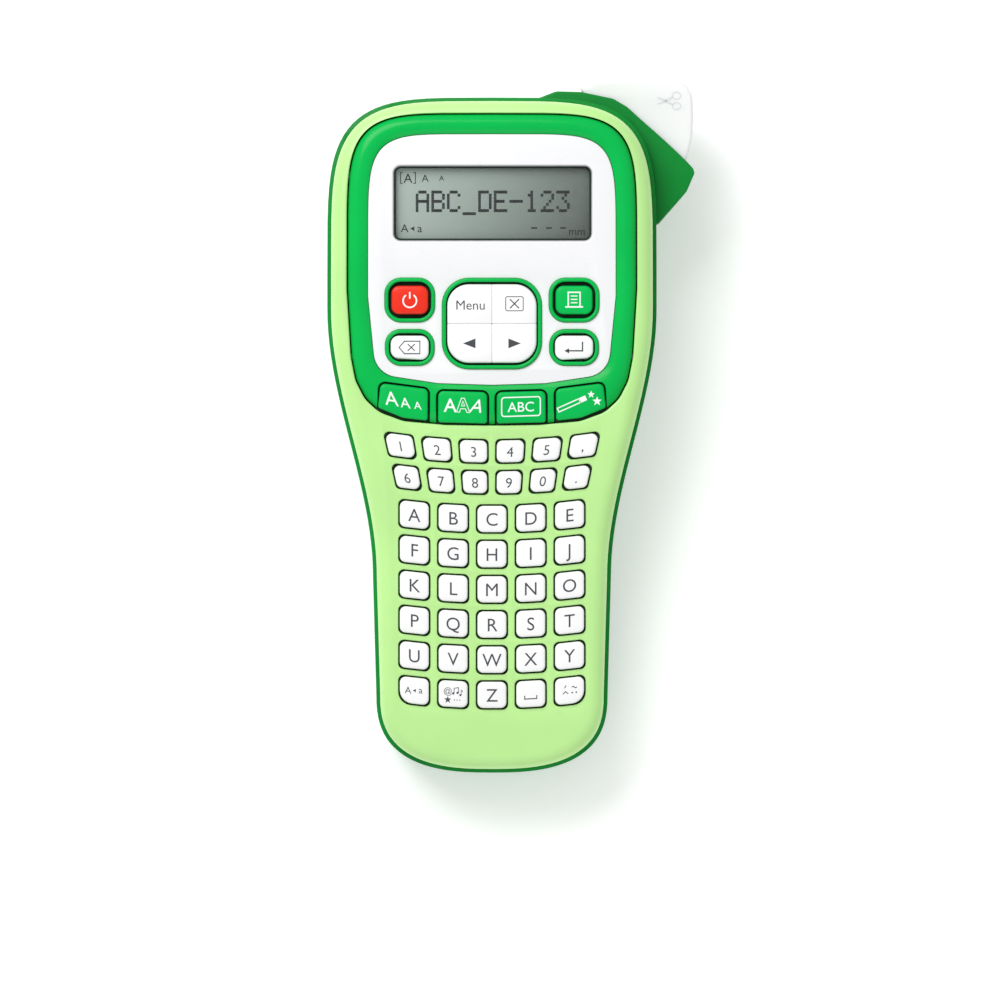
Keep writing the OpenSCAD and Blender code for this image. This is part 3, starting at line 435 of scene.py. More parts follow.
def metal(name, colour, rough=0.28):
    """Metal with fine drawn lines along one way and a few smudges."""
    f = Finish(name, Metallic=1.0)
    along = f.node("Mapping", inputs={"Vector": f.place(), "Scale": (900, 900, 60)})
    lines = f.noise(1.0, 3, 0.6, along)
    smudge = f.noise(180, 3)
    tint = f.mix(f.spread(smudge, 0.35, 0.7), colour, tuple(c * 0.86 for c in colour))
    polish = f.spread(lines, 0.3, 0.7, rough - 0.08, rough + 0.12)
    return f.feed(Base_Color=tint, Roughness=polish, Normal=f.bump(lines, 0.12, 0.00003)).material


def printed(name, colour, rough=0.5):
    """Legend ink: slightly uneven, flat."""
    f = Finish(name, Specular_IOR_Level=0.1)
    tint = f.mix(f.noise(3000, 2), colour, tuple(min(1, c * 1.15 + 0.01) for c in colour))
    grain = f.spread(f.noise(900), 0.3, 0.7, rough - 0.06, rough + 0.06)
    return f.feed(Base_Color=tint, Roughness=grain).material


def soft_rubber(name, colour):
    f = Finish(name)
    fine = f.noise(1800, 3, 0.7)
    tint = f.mix(f.spread(f.noise(90, 3), 0.3, 0.7), colour, tuple(c * 1.5 + 0.004 for c in colour))
    return f.feed(
        Base_Color=tint, Roughness=f.spread(fine, 0.3, 0.7, 0.68, 0.86),
        Normal=f.bump(fine, 0.25, 0.00008)).material


def board_finish():
    """Green circuit board with lighter tracks on a square grid and plated dots."""
    f = Finish("board_green")
    where = f.place()
    cells = f.node("TexVoronoi", {"feature": "DISTANCE_TO_EDGE"},
                   {"Vector": where, "Scale": 170.0}, "Distance")
    tracks = f.spread(cells, 0.02, 0.06, 1.0, 0.0)
    dots = f.node("TexVoronoi", {"feature": "F1"}, {"Vector": where, "Scale": 260.0}, "Distance")
    pads = f.spread(dots, 0.12, 0.16, 1.0, 0.0)
    base = f.mix(f.noise(60), linear(10, 88, 52), linear(16, 104, 62))
    base = f.mix(tracks * 0.7, base, linear(40, 140, 80))
    base = f.mix(pads * f.spread(f.noise(300), 0.5, 0.55), base, linear(200, 200, 190))
    return f.feed(
        Base_Color=base, Roughness=f.spread(tracks, 0, 1, 0.32, 0.42),
        Normal=f.bump(tracks, 0.2, 0.00005)).material


def cell_finish():
    """Shrink-wrapped cells: a dark band at one end and a copper one along the rest."""
    f = Finish("cell_wrap", Coat_Weight=0.4)
    where = f.node("SeparateXYZ", inputs={"Vector": f.place()}, output=1)
    wave = f.node("Math", {"operation": "PINGPONG"}, {0: where, 1: 0.0235})
    band = f.spread(wave, 0.0058, 0.0062)
    tint = f.mix(band, linear(38, 40, 44), linear(205, 140, 66))
    tint = f.mix(f.spread(f.noise(700, 3), 0.4, 0.7) * 0.25, tint, linear(120, 90, 60))
    return f.feed(
        Base_Color=tint, Roughness=f.spread(f.noise(300), 0.3, 0.7, 0.24, 0.36),
        Metallic=f.spread(band, 0, 1, 0.1, 0.6)).material


def lcd_finish():
    """Grey-green liquid-crystal glass with painted shade: it darkens towards its lower right corner, away
    from the light.
    """
    f = Finish("lcd_grey", Specular_IOR_Level=0.3)
    where = f.place()
    upward = f.node("SeparateXYZ", inputs={"Vector": where}, output=1)
    across = f.node("SeparateXYZ", inputs={"Vector": where}, output=0)
    # painted shade: the glass grows darker to the right and towards the bottom
    painted_shade = f.spread(across, *LCD_SIDE, 0.0, 0.85) + f.spread(upward, *LCD_SPAN, 0.22, 0.0)
    ramp = f.node("ValToRGB", {"stops": [
        (0.0, linear(176, 192, 184)), (0.4, linear(150, 164, 157)), (1.0, linear(58, 68, 60))]}, {0: painted_shade})
    tint = f.mix(f.noise(40, 3) * 0.1, ramp, linear(150, 160, 154))
    fine = f.noise(2400, 2)
    return f.feed(
        Base_Color=tint, Roughness=f.spread(fine, 0.3, 0.7, 0.3, 0.4),
        Normal=f.bump(fine, 0.04, 0.00003)).material


def clear_finish():
    """Clear acrylic: nearly see-through, with a hard gloss and faint haze."""
    f = Finish("clear_window", Base_Color=linear(232, 240, 236), IOR=1.49, Specular_IOR_Level=0.25)
    haze = f.noise(500, 4)
    return f.feed(
        Alpha=f.spread(haze, 0.3, 0.8, 0.02, 0.04), Roughness=f.spread(haze, 0.3, 0.7, 0.02, 0.07)).material


def frosted_finish():
    """Milky white plastic of the lever: soft, slightly see-through, with a satin grain."""
    f = Finish("lever_white", Subsurface_Weight=0.25, Subsurface_Radius=(0.004, 0.004, 0.004),
               Subsurface_Scale=0.5)
    cloud = f.noise(60, 3)
    fine = f.noise(2600, 2, 0.6)
    tint = f.mix(f.spread(cloud, 0.3, 0.7), linear(243, 244, 245), linear(250, 250, 251))
    return f.feed(
        Base_Color=tint, Roughness=f.spread(f.noise(400), 0.3, 0.7, 0.38, 0.5),
        Normal=f.bump(fine, 0.15, 0.00008)).material


lcd_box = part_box("lcd_module")
LCD_SPAN = (lcd_box[0][1], lcd_box[1][1])
LCD_SIDE = (lcd_box[0][0], lcd_box[1][0])

LIME = moulded("lime_shell", linear(190, 240, 150), 0.36, 0.16, 2400, 0.02)
REAR_GREEN = moulded("rear_green", linear(0, 138, 50), 0.38, 0.2, 2000, 0.04, Specular_IOR_Level=0.22)
RING_GREEN = moulded("ring_green", linear(0, 188, 80), 0.24, 0.05, 2600, 0.03, Specular_IOR_Level=0.14,
                     Coat_Weight=0.06)
KEY_GREEN = moulded("green_key", linear(0, 190, 84), 0.32, 0.08, 2600, 0.03, Specular_IOR_Level=0.15)
PANEL_WHITE = moulded("panel_white", linear(244, 244, 246), 0.3, 0.05, 2600, 0.004, Coat_Weight=0.15)
KEY_WHITE = moulded("white_key", linear(252, 252, 253), 0.34, 0.08, 2600, 0.008)
KEY_RED = moulded("red_key", linear(240, 48, 26), 0.3, 0.06, 2600, 0.03, Specular_IOR_Level=0.3)
BLACK = moulded("black_plastic", linear(34, 35, 38), 0.5, 0.2, 1800, 0.05)
CASSETTE = moulded("cassette_plastic", linear(52, 54, 60), 0.42, 0.2, 1800, 0.05)
GEAR_WHITE = moulded("gear_white", linear(236, 236, 228), 0.4, 0.08, 2600, 0.02)
TAPE_WHITE = moulded("tape_white", linear(244, 244, 244), 0.25, 0.04, 3000, 0.01)
CERAMIC = moulded("head_ceramic", linear(226, 222, 206), 0.22, 0.03, 3000, 0.02)
STEEL = metal("steel", (0.62, 0.62, 0.64))
SPRING_STEEL = metal("spring_steel", (0.74, 0.74, 0.76), 0.2)
MOTOR_STEEL = metal("motor_steel", (0.5, 0.5, 0.52), 0.34)
HEAT_SINK = metal("heat_sink", (0.78, 0.79, 0.8), 0.34)
BRASS = metal("brass", (0.83, 0.62, 0.28), 0.26)
SILICONE = soft_rubber("silicone", linear(60, 64, 70))
# Near-black rubber for the dark lips in the key gaps and the window's dark ring: painted shade
SHADE_LIP_DARK = soft_rubber("painted_shade_dark", linear(4, 26, 14))
ROLLER = soft_rubber("roller_rubber", linear(30, 30, 32))
BOARD = board_finish()
CELLS = cell_finish()
LCD_GREY_PAINTED_SHADE = lcd_finish()
CLEAR = clear_finish()
LEVER_WHITE = frosted_finish()
INK_GREY = printed("legend_grey", linear(72, 76, 80))
INK_WHITE = printed("legend_white", linear(240, 246, 240))
INK_NAVY = printed("lcd_dots", linear(2, 8, 20), 0.7)
# The scissors mark is the lever's own plastic; its greyer tint is painted shade of the raised mark
RELIEF_PAINTED_SHADE = moulded("scissors_relief_painted_shade", linear(224, 226, 229), 0.45, 0.1, 2600, 0.02)
PART_FINISH = {
    "chassis_plate": BLACK, "case_screws": STEEL, "dc_socket": BLACK, "key_mat": SILICONE,
    "circuit_board": BOARD, "lcd_module": LCD_GREY_PAINTED_SHADE, "feed_motor": MOTOR_STEEL, "motor_pinion": BRASS,
    "reduction_gear": GEAR_WHITE, "platen_gear": GEAR_WHITE, "ribbon_gear": GEAR_WHITE, "platen_shaft": STEEL,
    "platen_roller": ROLLER, "ribbon_spindle": GEAR_WHITE, "gear_axles": STEEL, "print_head": CERAMIC,
    "head_heat_sink": HEAT_SINK, "tape_guide_post": STEEL, "tape_cassette": CASSETTE, "tape_roll": TAPE_WHITE,
    "ribbon_spool": BLACK, "tape_strip": TAPE_WHITE, "cutter_blade": STEEL, "blade_anvil": STEEL,
    "lever_pivot_pin": STEEL, "lever_spring": SPRING_STEEL, "batteries": CELLS,
    "battery_contacts": SPRING_STEEL,
    "display_window": CLEAR, "face_panel": PANEL_WHITE,
}
for node, finish in PART_FINISH.items():
    piece = bpy.data.objects[node]
    if piece.material_slots:
        for place in piece.material_slots:
            place.material = finish
    else:
        piece.data.materials.append(finish)


# ---------------------------------------------------------------- levels and places shared with the CAD
EDGE_R = 4.0
FLOOR_W = FACE_BACK - 1.4
FLOOR_T = 1.2
FRAME_HALF = 42.9
FRAME_LOW = HEAD_V - 46
FRAME_HIGH = CASE_LEN - 5.2
PANEL_HALF = 36.9
PANEL_HIGH = CASE_LEN - 11.1
PANEL_LOW = HEAD_V - 34.4
KEY_GAP = 0.5
KEY_RISE = 1.4
CHAR_TOP = FACE_W + KEY_RISE
ROW_RADIUS = 212.0


def sag(u):
    return u * u / (2 * ROW_RADIUS)


def arch(half, top, power):
    """Over the head, from the right side to the left."""
    right = [superellipse(half, top - HEAD_V, power, q) for q in arc(0, math.pi / 2, 24)]
    return [(u, HEAD_V + v) for u, v in right] + [(-u, HEAD_V + v) for u, v in reversed(right[:-1])]


def frame_outline(d):
    """Outer edge of the display frame, shrunk by d."""
    half = FRAME_HALF - d
    corners = [(half, -6), (half - 1.2, -26), (half - 2.6, -33 + 0.5 * d), (half - 5.4, -38.4 + 0.8 * d),
               (half - 9.6, -42.2 + d), (half - 17, -44.9 + d), (14, -46 + d)]
    low = [(u, HEAD_V + v) for u, v in corners]
    path = [(-u, v) for u, v in low] + [(0, FRAME_LOW + d - 0.2)] + list(reversed(low))
    return round_path(path, 9, 6, False) + arch(half, FRAME_HIGH - d, 5.3)


def panel_outline(d):
    """Edge of the white panel, shrunk by d."""
    half = PANEL_HALF - d
    low = round_path([
        (-half, HEAD_V - 8), (-half + 2.3, PANEL_LOW + 3.2 + d), (-16, PANEL_LOW + 0.4 + d),
        (0, PANEL_LOW + d - 0.1), (16, PANEL_LOW + 0.4 + d), (half - 2.3, PANEL_LOW + 3.2 + d),
        (half, HEAD_V - 8)], 7.5, 8, False)
    return low + arch(half, PANEL_HIGH - d, 6.0)


def hole_cutter(shape, low, top, edge):
    """Cuts a hole whose upper edge is rounded. shape(d) is the hole's outline grown by d."""
    rings = [level(shape(0), low)]
    for q in arc(0, math.pi / 2, 3):
        rings.append(level(shape(edge * (1 - math.cos(q))), top - edge + edge * math.sin(q)))
    rings.append(level(shape(edge), top + 3))
    return skin("hole", rings)


# ---------------------------------------------------------------- key places
SIDE_KEY_U = 24.45
UPPER_KEY_V = HEAD_V - 9.2
LOWER_KEY_V = HEAD_V - 23.3
PAD_V = HEAD_V - 16.2
NUMBER_UPPER_V = HEAD_V - 54.3
NUMBER_LOWER_V = HEAD_V - 63.5
LETTER_FIRST_V = HEAD_V - 74.4
ROW_PITCH = 10.47
LETTER_PITCH = 11.55
FAN_V = -38.0
LETTER_HALF = (4.3, 3.9)
NUMBER_HALF_H = 3.25
UPPER_PITCH, UPPER_KEY_W = 10.88, 8.0
LOWER_PITCH, LOWER_KEY_W = 10.1, 7.2
KEY_ROUND = 1.7
BOTTOM_ROUND = 4.0
QUARTERS = ((-1, -1), (1, -1), (1, 1), (-1, 1))
NUMBER_COLS = (-2.5, -1.5, -0.5, 0.5, 1.5, 2.5)
LETTER_COLS = (-2, -1, 0, 1, 2)


def letter_quad(col, row):
    u, v0 = col * LETTER_PITCH, LETTER_FIRST_V - row * ROW_PITCH
    half_w, half_h = LETTER_HALF
    return [(u + x * half_w, v0 + y * half_h + sag(u + x * half_w)) for x, y in QUARTERS]


def number_quad(col, pitch, v0, wide):
    quad = []
    for x, y in QUARTERS:
        v = v0 + y * NUMBER_HALF_H
        u = (col * pitch + x * wide / 2) * (v - FAN_V) / (v0 - FAN_V)
        quad.append((u, v + sag(u)))
    return quad


def upper_number(col):
    return number_quad(col, UPPER_PITCH, NUMBER_UPPER_V, UPPER_KEY_W)


def lower_number(col):
    return number_quad(col, LOWER_PITCH, NUMBER_LOWER_V, LOWER_KEY_W)


def function_quad(side, inner):
    if inner:
        quad = [(16.05, HEAD_V - 45.6), (1.4, HEAD_V - 45.95), (1.4, HEAD_V - 36.6), (16, HEAD_V - 36.2)]
    else:
        quad = [(33.9, HEAD_V - 41.2), (19.1, HEAD_V - 45.1), (19, HEAD_V - 35.7), (33.2, HEAD_V - 33.9)]
    quad = [(side * u, v) for u, v in quad]
    return quad if quad[0][0] < quad[1][0] else [quad[1], quad[0], quad[3], quad[2]]


def letter_radii(col, row):
    if row < 5 or abs(col) < 2:
        return [KEY_ROUND] * 4
    left, right = (BOTTOM_ROUND, KEY_ROUND) if col < 0 else (KEY_ROUND, BOTTOM_ROUND)
    return [left, right, KEY_ROUND, KEY_ROUND]


def rounded_quad(quad, radii, steps=6):
    """The outline of a rounded quadrilateral as a function of how far it is grown."""
    radii = radii if isinstance(radii, list) else [radii] * 4
    return lambda d: round_path(grown(quad, d), [max(0.25, r + d) for r in radii], steps)


# ---------------------------------------------------------------- front shell
def front_shell():
    rings = [level(case_outline(RIM + WALL), FACE_BACK), level(case_outline(RIM + WALL), 0.1)]
    rings += [level(case_outline(RIM + 0.25), 0.1), level(case_outline(RIM), 0.35)]
    for q in arc(0, math.pi / 2, 9):
        inward, down = EDGE_R * (1 - math.cos(q)), EDGE_R * (1 - math.sin(q))
        rings.append(level(case_outline(RIM + inward), FACE_W - down))
    shell = skin("front_shell", rings)
    # The display frame's opening, with a rounded lip
    cut(shell, hole_cutter(lambda d: frame_outline(-0.35 - d), -1, FACE_W, 0.5))
    holes = [
        hole_cutter(rounded_quad(grown(letter_quad(c, r), KEY_GAP), letter_radii(c, r)), -1, FACE_W, 0.35)
        for r in range(6) for c in LETTER_COLS]
    for c in NUMBER_COLS:
        for quad in (upper_number(c), lower_number(c)):
            holes.append(hole_cutter(rounded_quad(grown(quad, KEY_GAP), 1.5), -1, FACE_W, 0.35))
    cut(shell, holes)
    seated(shell, "housing", "front_case", slot="lime", finish=LIME)


# ---------------------------------------------------------------- keys
def key_cap(name, shape, low, top, edge=0.7, crown=0.12, flange=None):
    """A cap with a rounded upper edge and a slight dome. flange gives its reach and its upper level."""
    rings = []
    if flange:
        rings += [level(shape(flange[0]), low), level(shape(flange[0]), flange[1])]
        rings.append(level(shape(0), flange[1]))
    else:
        rings.append(level(shape(0), low))
    base = top - crown - edge
    for q in arc(0, math.pi / 2 * 0.92, 5):
        rings.append(level(shape(-edge * (1 - math.cos(q))), base + edge * math.sin(q)))
    start = base + edge * math.sin(math.pi / 2 * 0.92)
    for k in (1, 2, 3):
        rings.append(level(shape(-edge - 0.75 * k), start + (top - start) * (1 - (1 - k / 3) ** 2)))
    return skin(name, rings)


def character_row(name, quads, radii):
    flange = (1.0, FACE_BACK - 0.27)
    caps = [key_cap("cap", rounded_quad(q, r, 5), FACE_BACK - FLANGE_LOW, CHAR_TOP - 0.03, flange=flange)
            for q, r in zip(quads, radii)]
    row = join(name + "_caps", caps)
    seated(row, name + "_body", name, slot="white_key", finish=KEY_WHITE)


LETTER_ROWS = ("letter_keys_a_to_e", "letter_keys_f_to_j", "letter_keys_k_to_o", "letter_keys_p_to_t",
               "letter_keys_u_to_y", "letter_keys_bottom")


def character_keys():
    for r, name in enumerate(LETTER_ROWS):
        quads = [letter_quad(c, r) for c in LETTER_COLS]
        character_row(name, quads, [letter_radii(c, r) for c in LETTER_COLS])
    character_row("number_keys_upper", [upper_number(c) for c in NUMBER_COLS], [KEY_ROUND] * 6)
    character_row("number_keys_lower", [lower_number(c) for c in NUMBER_COLS], [KEY_ROUND] * 6)


PANEL_KEY_TOP = FACE_W + 1.2
FUNCTION_TOP = FACE_W + 1.1
FLANGE_LOW = 1.3
PANEL_FLANGE = (1.0, FLOOR_W - 0.12)


def side_shape(side, steps):
    """Power and print keys."""
    return rounded_quad(rectangle(side * SIDE_KEY_U, UPPER_KEY_V, 11, 8.5), 2.3, steps)


def pad_shape(steps):
    return rounded_quad(rectangle(0, PAD_V, 26.6, 23.4), 6.4, steps)


def panel_keys():
    low = FLOOR_W - FLANGE_LOW
    for side, name, finish, slot in (
            (-1, "power_key", KEY_RED, "red_key"), (1, "print_key", KEY_GREEN, "green_key")):
        cap = key_cap(name + "_cap", side_shape(side, 7), low, PANEL_KEY_TOP, 0.8, 0.2, PANEL_FLANGE)
        seated(cap, name + "_body", name, slot=slot, finish=finish)
    for side, name in ((-1, "backspace_key"), (1, "enter_key")):
        quad = [(side * SIDE_KEY_U + x * 5.7, LOWER_KEY_V + y * 3.5 + (0.35 * side * x if y < 0 else 0))
                for x, y in QUARTERS]
        cap = key_cap(name + "_cap", rounded_quad(quad, 2.4, 7), low, PANEL_KEY_TOP, 0.8, 0.2, PANEL_FLANGE)
        seated(cap, name + "_body", name, slot="white_key", finish=KEY_WHITE)
    # The four-way pad is one cap cut into quarters by two fine grooves
    for name, x, y in (("menu_key", -1, 1), ("cancel_key", 1, 1), ("cursor_left_key", -1, -1),
                       ("cursor_right_key", 1, -1)):
        pad = key_cap(name + "_cap", pad_shape(10), low, PANEL_KEY_TOP, 0.9, 0.25, PANEL_FLANGE)
        keep = prism("quarter", rectangle(x * 20.03, PAD_V + y * 20.03, 40, 40), -5, 30)
        cut(pad, keep, "INTERSECT")
        soften(pad, 0.22, 3, 60)
        seated(pad, name + "_body", name, slot="white_key", finish=KEY_WHITE)


PANEL_SHADE_LIP = 10.2
WINDOW_AT = (0.2, HEAD_V + 19.6)


def window_shape():
    return rounded_quad(rectangle(*WINDOW_AT, 59.4, 22.7), 2.4, 8)


def shade_lip(shape, inner, outer, low):
    """A dark lip round a key, under the edge of its hole: painted shade that darkens the gap round the key.
    """
    rings = [level(shape(outer), low), level(shape(outer), low + 0.35), level(shape(inner), low + 0.35),
             level(shape(inner), low)]
    return skin("shade_lip", rings + [rings[0]], False, False)


# Dark lips under the key holes, painted shade in the gaps round the keys, and a dark ring round the window's
# edge
def painted_shade_lips():
    parts = []
    for r in range(6):
        for c in LETTER_COLS:
            shape = rounded_quad(letter_quad(c, r), letter_radii(c, r), 3)
            parts.append(shade_lip(shape, 0.04, 0.85, FACE_BACK + 0.3))
    for c in NUMBER_COLS:
        for quad in (upper_number(c), lower_number(c)):
            parts.append(shade_lip(rounded_quad(quad, KEY_ROUND, 3), 0.04, 0.85, FACE_BACK + 0.3))
    for side in (-1, 1):
        parts.append(shade_lip(side_shape(side, 5), 0.04, 1, PANEL_SHADE_LIP))
        lower = rounded_quad(rectangle(side * SIDE_KEY_U, LOWER_KEY_V, 11.4, 7.2), 2.6, 5)
        parts.append(shade_lip(lower, 0.1, 0.9, PANEL_SHADE_LIP))
        for inner in (True, False):
            parts.append(shade_lip(function_shape(side, inner), 0.04, 0.75, PANEL_SHADE_LIP + 0.2))
    parts.append(shade_lip(pad_shape(8), 0.04, 0.7, PANEL_SHADE_LIP))
    # A dark ring round the window's edge: partly the lens's border, partly painted shade on the window's edge
    window = window_shape()
    rings = [level(window(-0.5), FLOOR_W + 1.25), level(window(-0.38), FLOOR_W + 1.25),
             level(window(-0.38), FLOOR_W + 1.7), level(window(-0.9), FLOOR_W + 1.32)]
    parts.append(skin("window_border_and_shade", rings + [rings[0]], False, False))
    seated(join("key_gap_painted_shade", parts), "housing", slot="silicone", finish=SHADE_LIP_DARK)


FUNCTION_KEYS = (("text_size_key", -1, False), ("text_style_key", -1, True), ("frame_key", 1, True),
                 ("decoration_key", 1, False))


def function_shape(side, inner, run=0.0):
    """Outline of a function key. Its lower edge follows the frame's; run moves that edge out."""
    quad = function_quad(side, inner)
    a, b = quad[0], quad[1]
    bow = 0.0 if inner else 1.1
    middle = ((a[0] + b[0]) / 2, (a[1] + b[1]) / 2 - bow - run)
    corners = [(a[0], a[1] - run), middle, (b[0], b[1] - run), quad[2], quad[3]]
    return rounded_quad(corners, [0.9, 6, 0.9, 1.6, 1.6], 6)


def function_keys():
    for name, side, inner in FUNCTION_KEYS:
        shape = function_shape(side, inner)
        cap = key_cap(name + "_cap", shape, FLOOR_W - FLANGE_LOW, FUNCTION_TOP, 0.7, 0.15, PANEL_FLANGE)
        seated(cap, name + "_body", name, slot="green_key", finish=KEY_GREEN)


# ---------------------------------------------------------------- display frame, panel and window
def pocket_shapes():
    shapes = []
    for side in (-1, 1):
        shapes.append(rounded_quad(rectangle(side * SIDE_KEY_U, UPPER_KEY_V, 14.9, 13.1), 4.8, 8))
        shapes.append(rounded_quad(rectangle(side * SIDE_KEY_U, LOWER_KEY_V, 14.6, 10.7), 4.6, 8))
    shapes.append(rounded_quad(rectangle(0, PAD_V, 29.6, 27), 8, 10))
    return shapes


RIM_TOP = FACE_W + 0.85


def display_frame():
    count = 260
    crest = FACE_W + 1.0
    outer = evenly(frame_outline(0), count)
    inner = evenly(panel_outline(-0.15), count)
    # Both paths start at the same place, so a point and its partner face each other
    def between(t):
        return [(a[0] + (b[0] - a[0]) * t, a[1] + (b[1] - a[1]) * t) for a, b in zip(outer, inner)]
    rings = [level(between(1.12), FLOOR_W), level(outer, FLOOR_W)]
    profile = [(0.0, -1.6), (0.02, -0.9), (0.06, -0.3), (0.12, 0.15), (0.2, 0.52), (0.3, 0.8), (0.42, 0.96),
               (0.52, 1.0), (0.64, 0.94), (0.76, 0.78), (0.87, 0.55), (0.95, 0.32), (1.0, 0.1)]
    for t, rise in profile:
        rings.append(level(between(t), FACE_W + rise * (crest - FACE_W)))
    rings.append(level(between(1.0), FLOOR_W + FLOOR_T))
    rings.append(level(between(1.12), FLOOR_W + FLOOR_T))
    rings.append(rings[0])
    ring = skin("display_ring", rings, False, False)
    holes = [hole_cutter(lambda d, f=function_shape(s, i, 4): f(KEY_GAP + 0.1 + d), 0, RIM_TOP, 0.3)
             for s in (-1, 1) for i in (True, False)]
    cut(ring, holes)
    seated(ring, "housing", "display_frame", slot="ring_green", finish=RING_GREEN)
    rims = []
    for shape in pocket_shapes():
        rings = [level(shape(-1.1), FLOOR_W), level(shape(0), FLOOR_W)]
        for q in arc(0, math.pi, 8):
            rings.append(level(shape(-0.55 + 0.55 * math.cos(q)), RIM_TOP - 0.5 + 0.5 * math.sin(q)))
        rings.append(rings[0])
        rims.append(skin("rim", rings, False, False))
    rims = join("key_rims", rims)
    seated(rims, "housing", slot="ring_green", finish=RING_GREEN)
    floor = prism("frame_floor", panel_outline(-1.5), FLOOR_W, FLOOR_W + FLOOR_T)
    openings = [prism("opening", shape(-0.9), 0, 20) for shape in pocket_shapes()]
    openings.append(prism("opening", rectangle(*WINDOW_AT, 61.6, 24.9), 0, 20))
    cut(floor, openings)
    seated(floor, "housing", slot="ring_green", finish=RING_GREEN)


def face_panel():
    rings = [level(panel_outline(0.0), FLOOR_W + 1.3), level(panel_outline(0.0), FACE_W - 0.25)]
    for q in arc(0, math.pi / 2, 3):
        rings.append(level(panel_outline(0.25 * (1 - math.cos(q))), FACE_W - 0.25 + 0.25 * math.sin(q)))
    panel = skin("white_panel", rings)
    window = window_shape()
    cutters = [hole_cutter(lambda d, s=shape: s(0.1 + d), 0, FACE_W, 0.15) for shape in pocket_shapes()]
    # The window's edge slopes down to the lens
    slope = [level(window(-0.35), 0), level(window(-0.35), FLOOR_W + 1.5), level(window(0.0), FACE_W - 0.2),
             level(window(0.3), FACE_W), level(window(0.3), FACE_W + 3)]
    cutters.append(skin("window", slope))
    cut(panel, cutters)
    seated(panel, "housing", "face_panel", slot="panel_white", finish=PANEL_WHITE)


# ---------------------------------------------------------------- rear shell and back cover
REST_SLOPE = math.tan(TILT)
GRIP_FLAT = 52.0
HUMP_START = HEAD_V - 52
HUMP_FLAT = HEAD_V - 24
COVER_TOP = -10.0


def rest_w(v):
    return -HEEL_D - REST_SLOPE * v


def depth_at(v):
    """Depth of the underside below the parting line."""
    def under(x):
        return -rest_w(x) - FOOT_H
    if v <= 26:
        return under(v)
    if v <= GRIP_FLAT:
        return under(26) + (GRIP_D - under(26)) * smooth((v - 26) / (GRIP_FLAT - 26))
    if v <= HUMP_START:
        return GRIP_D
    if v <= HUMP_FLAT:
        return GRIP_D + (under(HUMP_FLAT) - GRIP_D) * smooth((v - HUMP_START) / (HUMP_FLAT - HUMP_START))
    return under(v)


def tub(name, inset, lift, top):
    """The rear shell's outer or inner form: upright sides that round over into the underside."""
    edge = case_right(inset)
    inner = case_right(inset + 10)
    count = len(edge)

    def place(i, q):
        hump = smooth(min(1, max(0, (edge[i][1] - HUMP_START) / (HUMP_FLAT - HUMP_START))))
        across = 6.5 + 2.5 * hump - lift
        k = across * (1 - math.cos(q)) / 10
        u = edge[i][0] + (inner[i][0] - edge[i][0]) * k
        v = edge[i][1] + (inner[i][1] - edge[i][1]) * k
        depth = depth_at(v) - lift
        down = min(depth - 1, 7 + 8 * hump)
        return u, v, down - depth - down * math.sin(q)

    def ring(q):
        right = [place(i, q) for i in range(count)]
        right[0] = (0, *right[0][1:])
        right[-1] = (0, *right[-1][1:])
        return right + [(-u, v, w) for u, v, w in reversed(right[1:-1])]

    rings = [level(both_sides(edge), top)]
    rings += [ring(q) for q in arc(0, math.pi / 2, 9)]
    side = skin(name, rings, True, False)
    # The underside is closed with strips from one side to the other
    last = rings[-1]
    clear()
    bpy.ops.mesh.primitive_grid_add(x_subdivisions=10, y_subdivisions=count - 1, size=1)
    sheet = bpy.context.object
    for j in range(count):
        u, v, w = last[j]
        for i in range(11):
            sheet.data.vertices[j * 11 + i].co = (u * (i - 5) / 5, v, w)
    body = join(name, [side, sheet])
    fix_normals(body)
    return body


def cover_outline(d):
    wide = (HUMP_START - 6, HUMP_FLAT - 4)
    narrow_u, wide_u, top = 24 - d, 38 - d, CASE_LEN - 14 - d
    return round_path([
        (-narrow_u, 36 + d), (narrow_u, 36 + d), (narrow_u, wide[0]), (wide_u, wide[1]), (wide_u, top),
        (-wide_u, top), (-wide_u, wide[1]), (-narrow_u, wide[0])], 6, 8)


HOUSING = [
    (9.1, CASE_LEN - 0.8), (13.8, CASE_LEN - 0.1), (19.1, CASE_LEN + 2), (26.6, CASE_LEN + 1.8),
    (36.2, CASE_LEN - 0.2), (40.4, CASE_LEN - 2.7), (44.1, CASE_LEN - 6.1), (50, CASE_LEN - 11.3),
    (55.1, CASE_LEN - 16),
    (58.5, CASE_LEN - 19.3), (60.1, CASE_LEN - 21.1), (60.5, CASE_LEN - 22.4), (58.2, CASE_LEN - 27.8),
    (49.7, CASE_LEN - 37.6), (45.1, CASE_LEN - 37.6), (19.1, CASE_LEN - 10)]
WING_TOP = -5.0
WING_LOW = -30.9
WING_PLATE = 2
LEVER_GAP = 0.6
LEVER_RISE = 4.6
FAR_DOWN = -70
SCREWS = [(-22, 11), (22, 11), (-42.7, HEAD_V - 26), (42.7, HEAD_V - 26), (-42.1, HEAD_V + 28)]
FEET = [(-20, 21), (20, 21), (-42.1, HEAD_V - 13), (42.1, HEAD_V - 13)]


def hollow_outline():
    return [wing_at(*spot) for spot in ((2, -6.2), (46, -6.2), (46, 5), (60, 5), (60, 40), (2, 40))]


def shell_of_tub(name):
    shell = tub(name, 0, 0, 0)
    return cut(shell, tub("inside", WALL, WALL, 1.5))


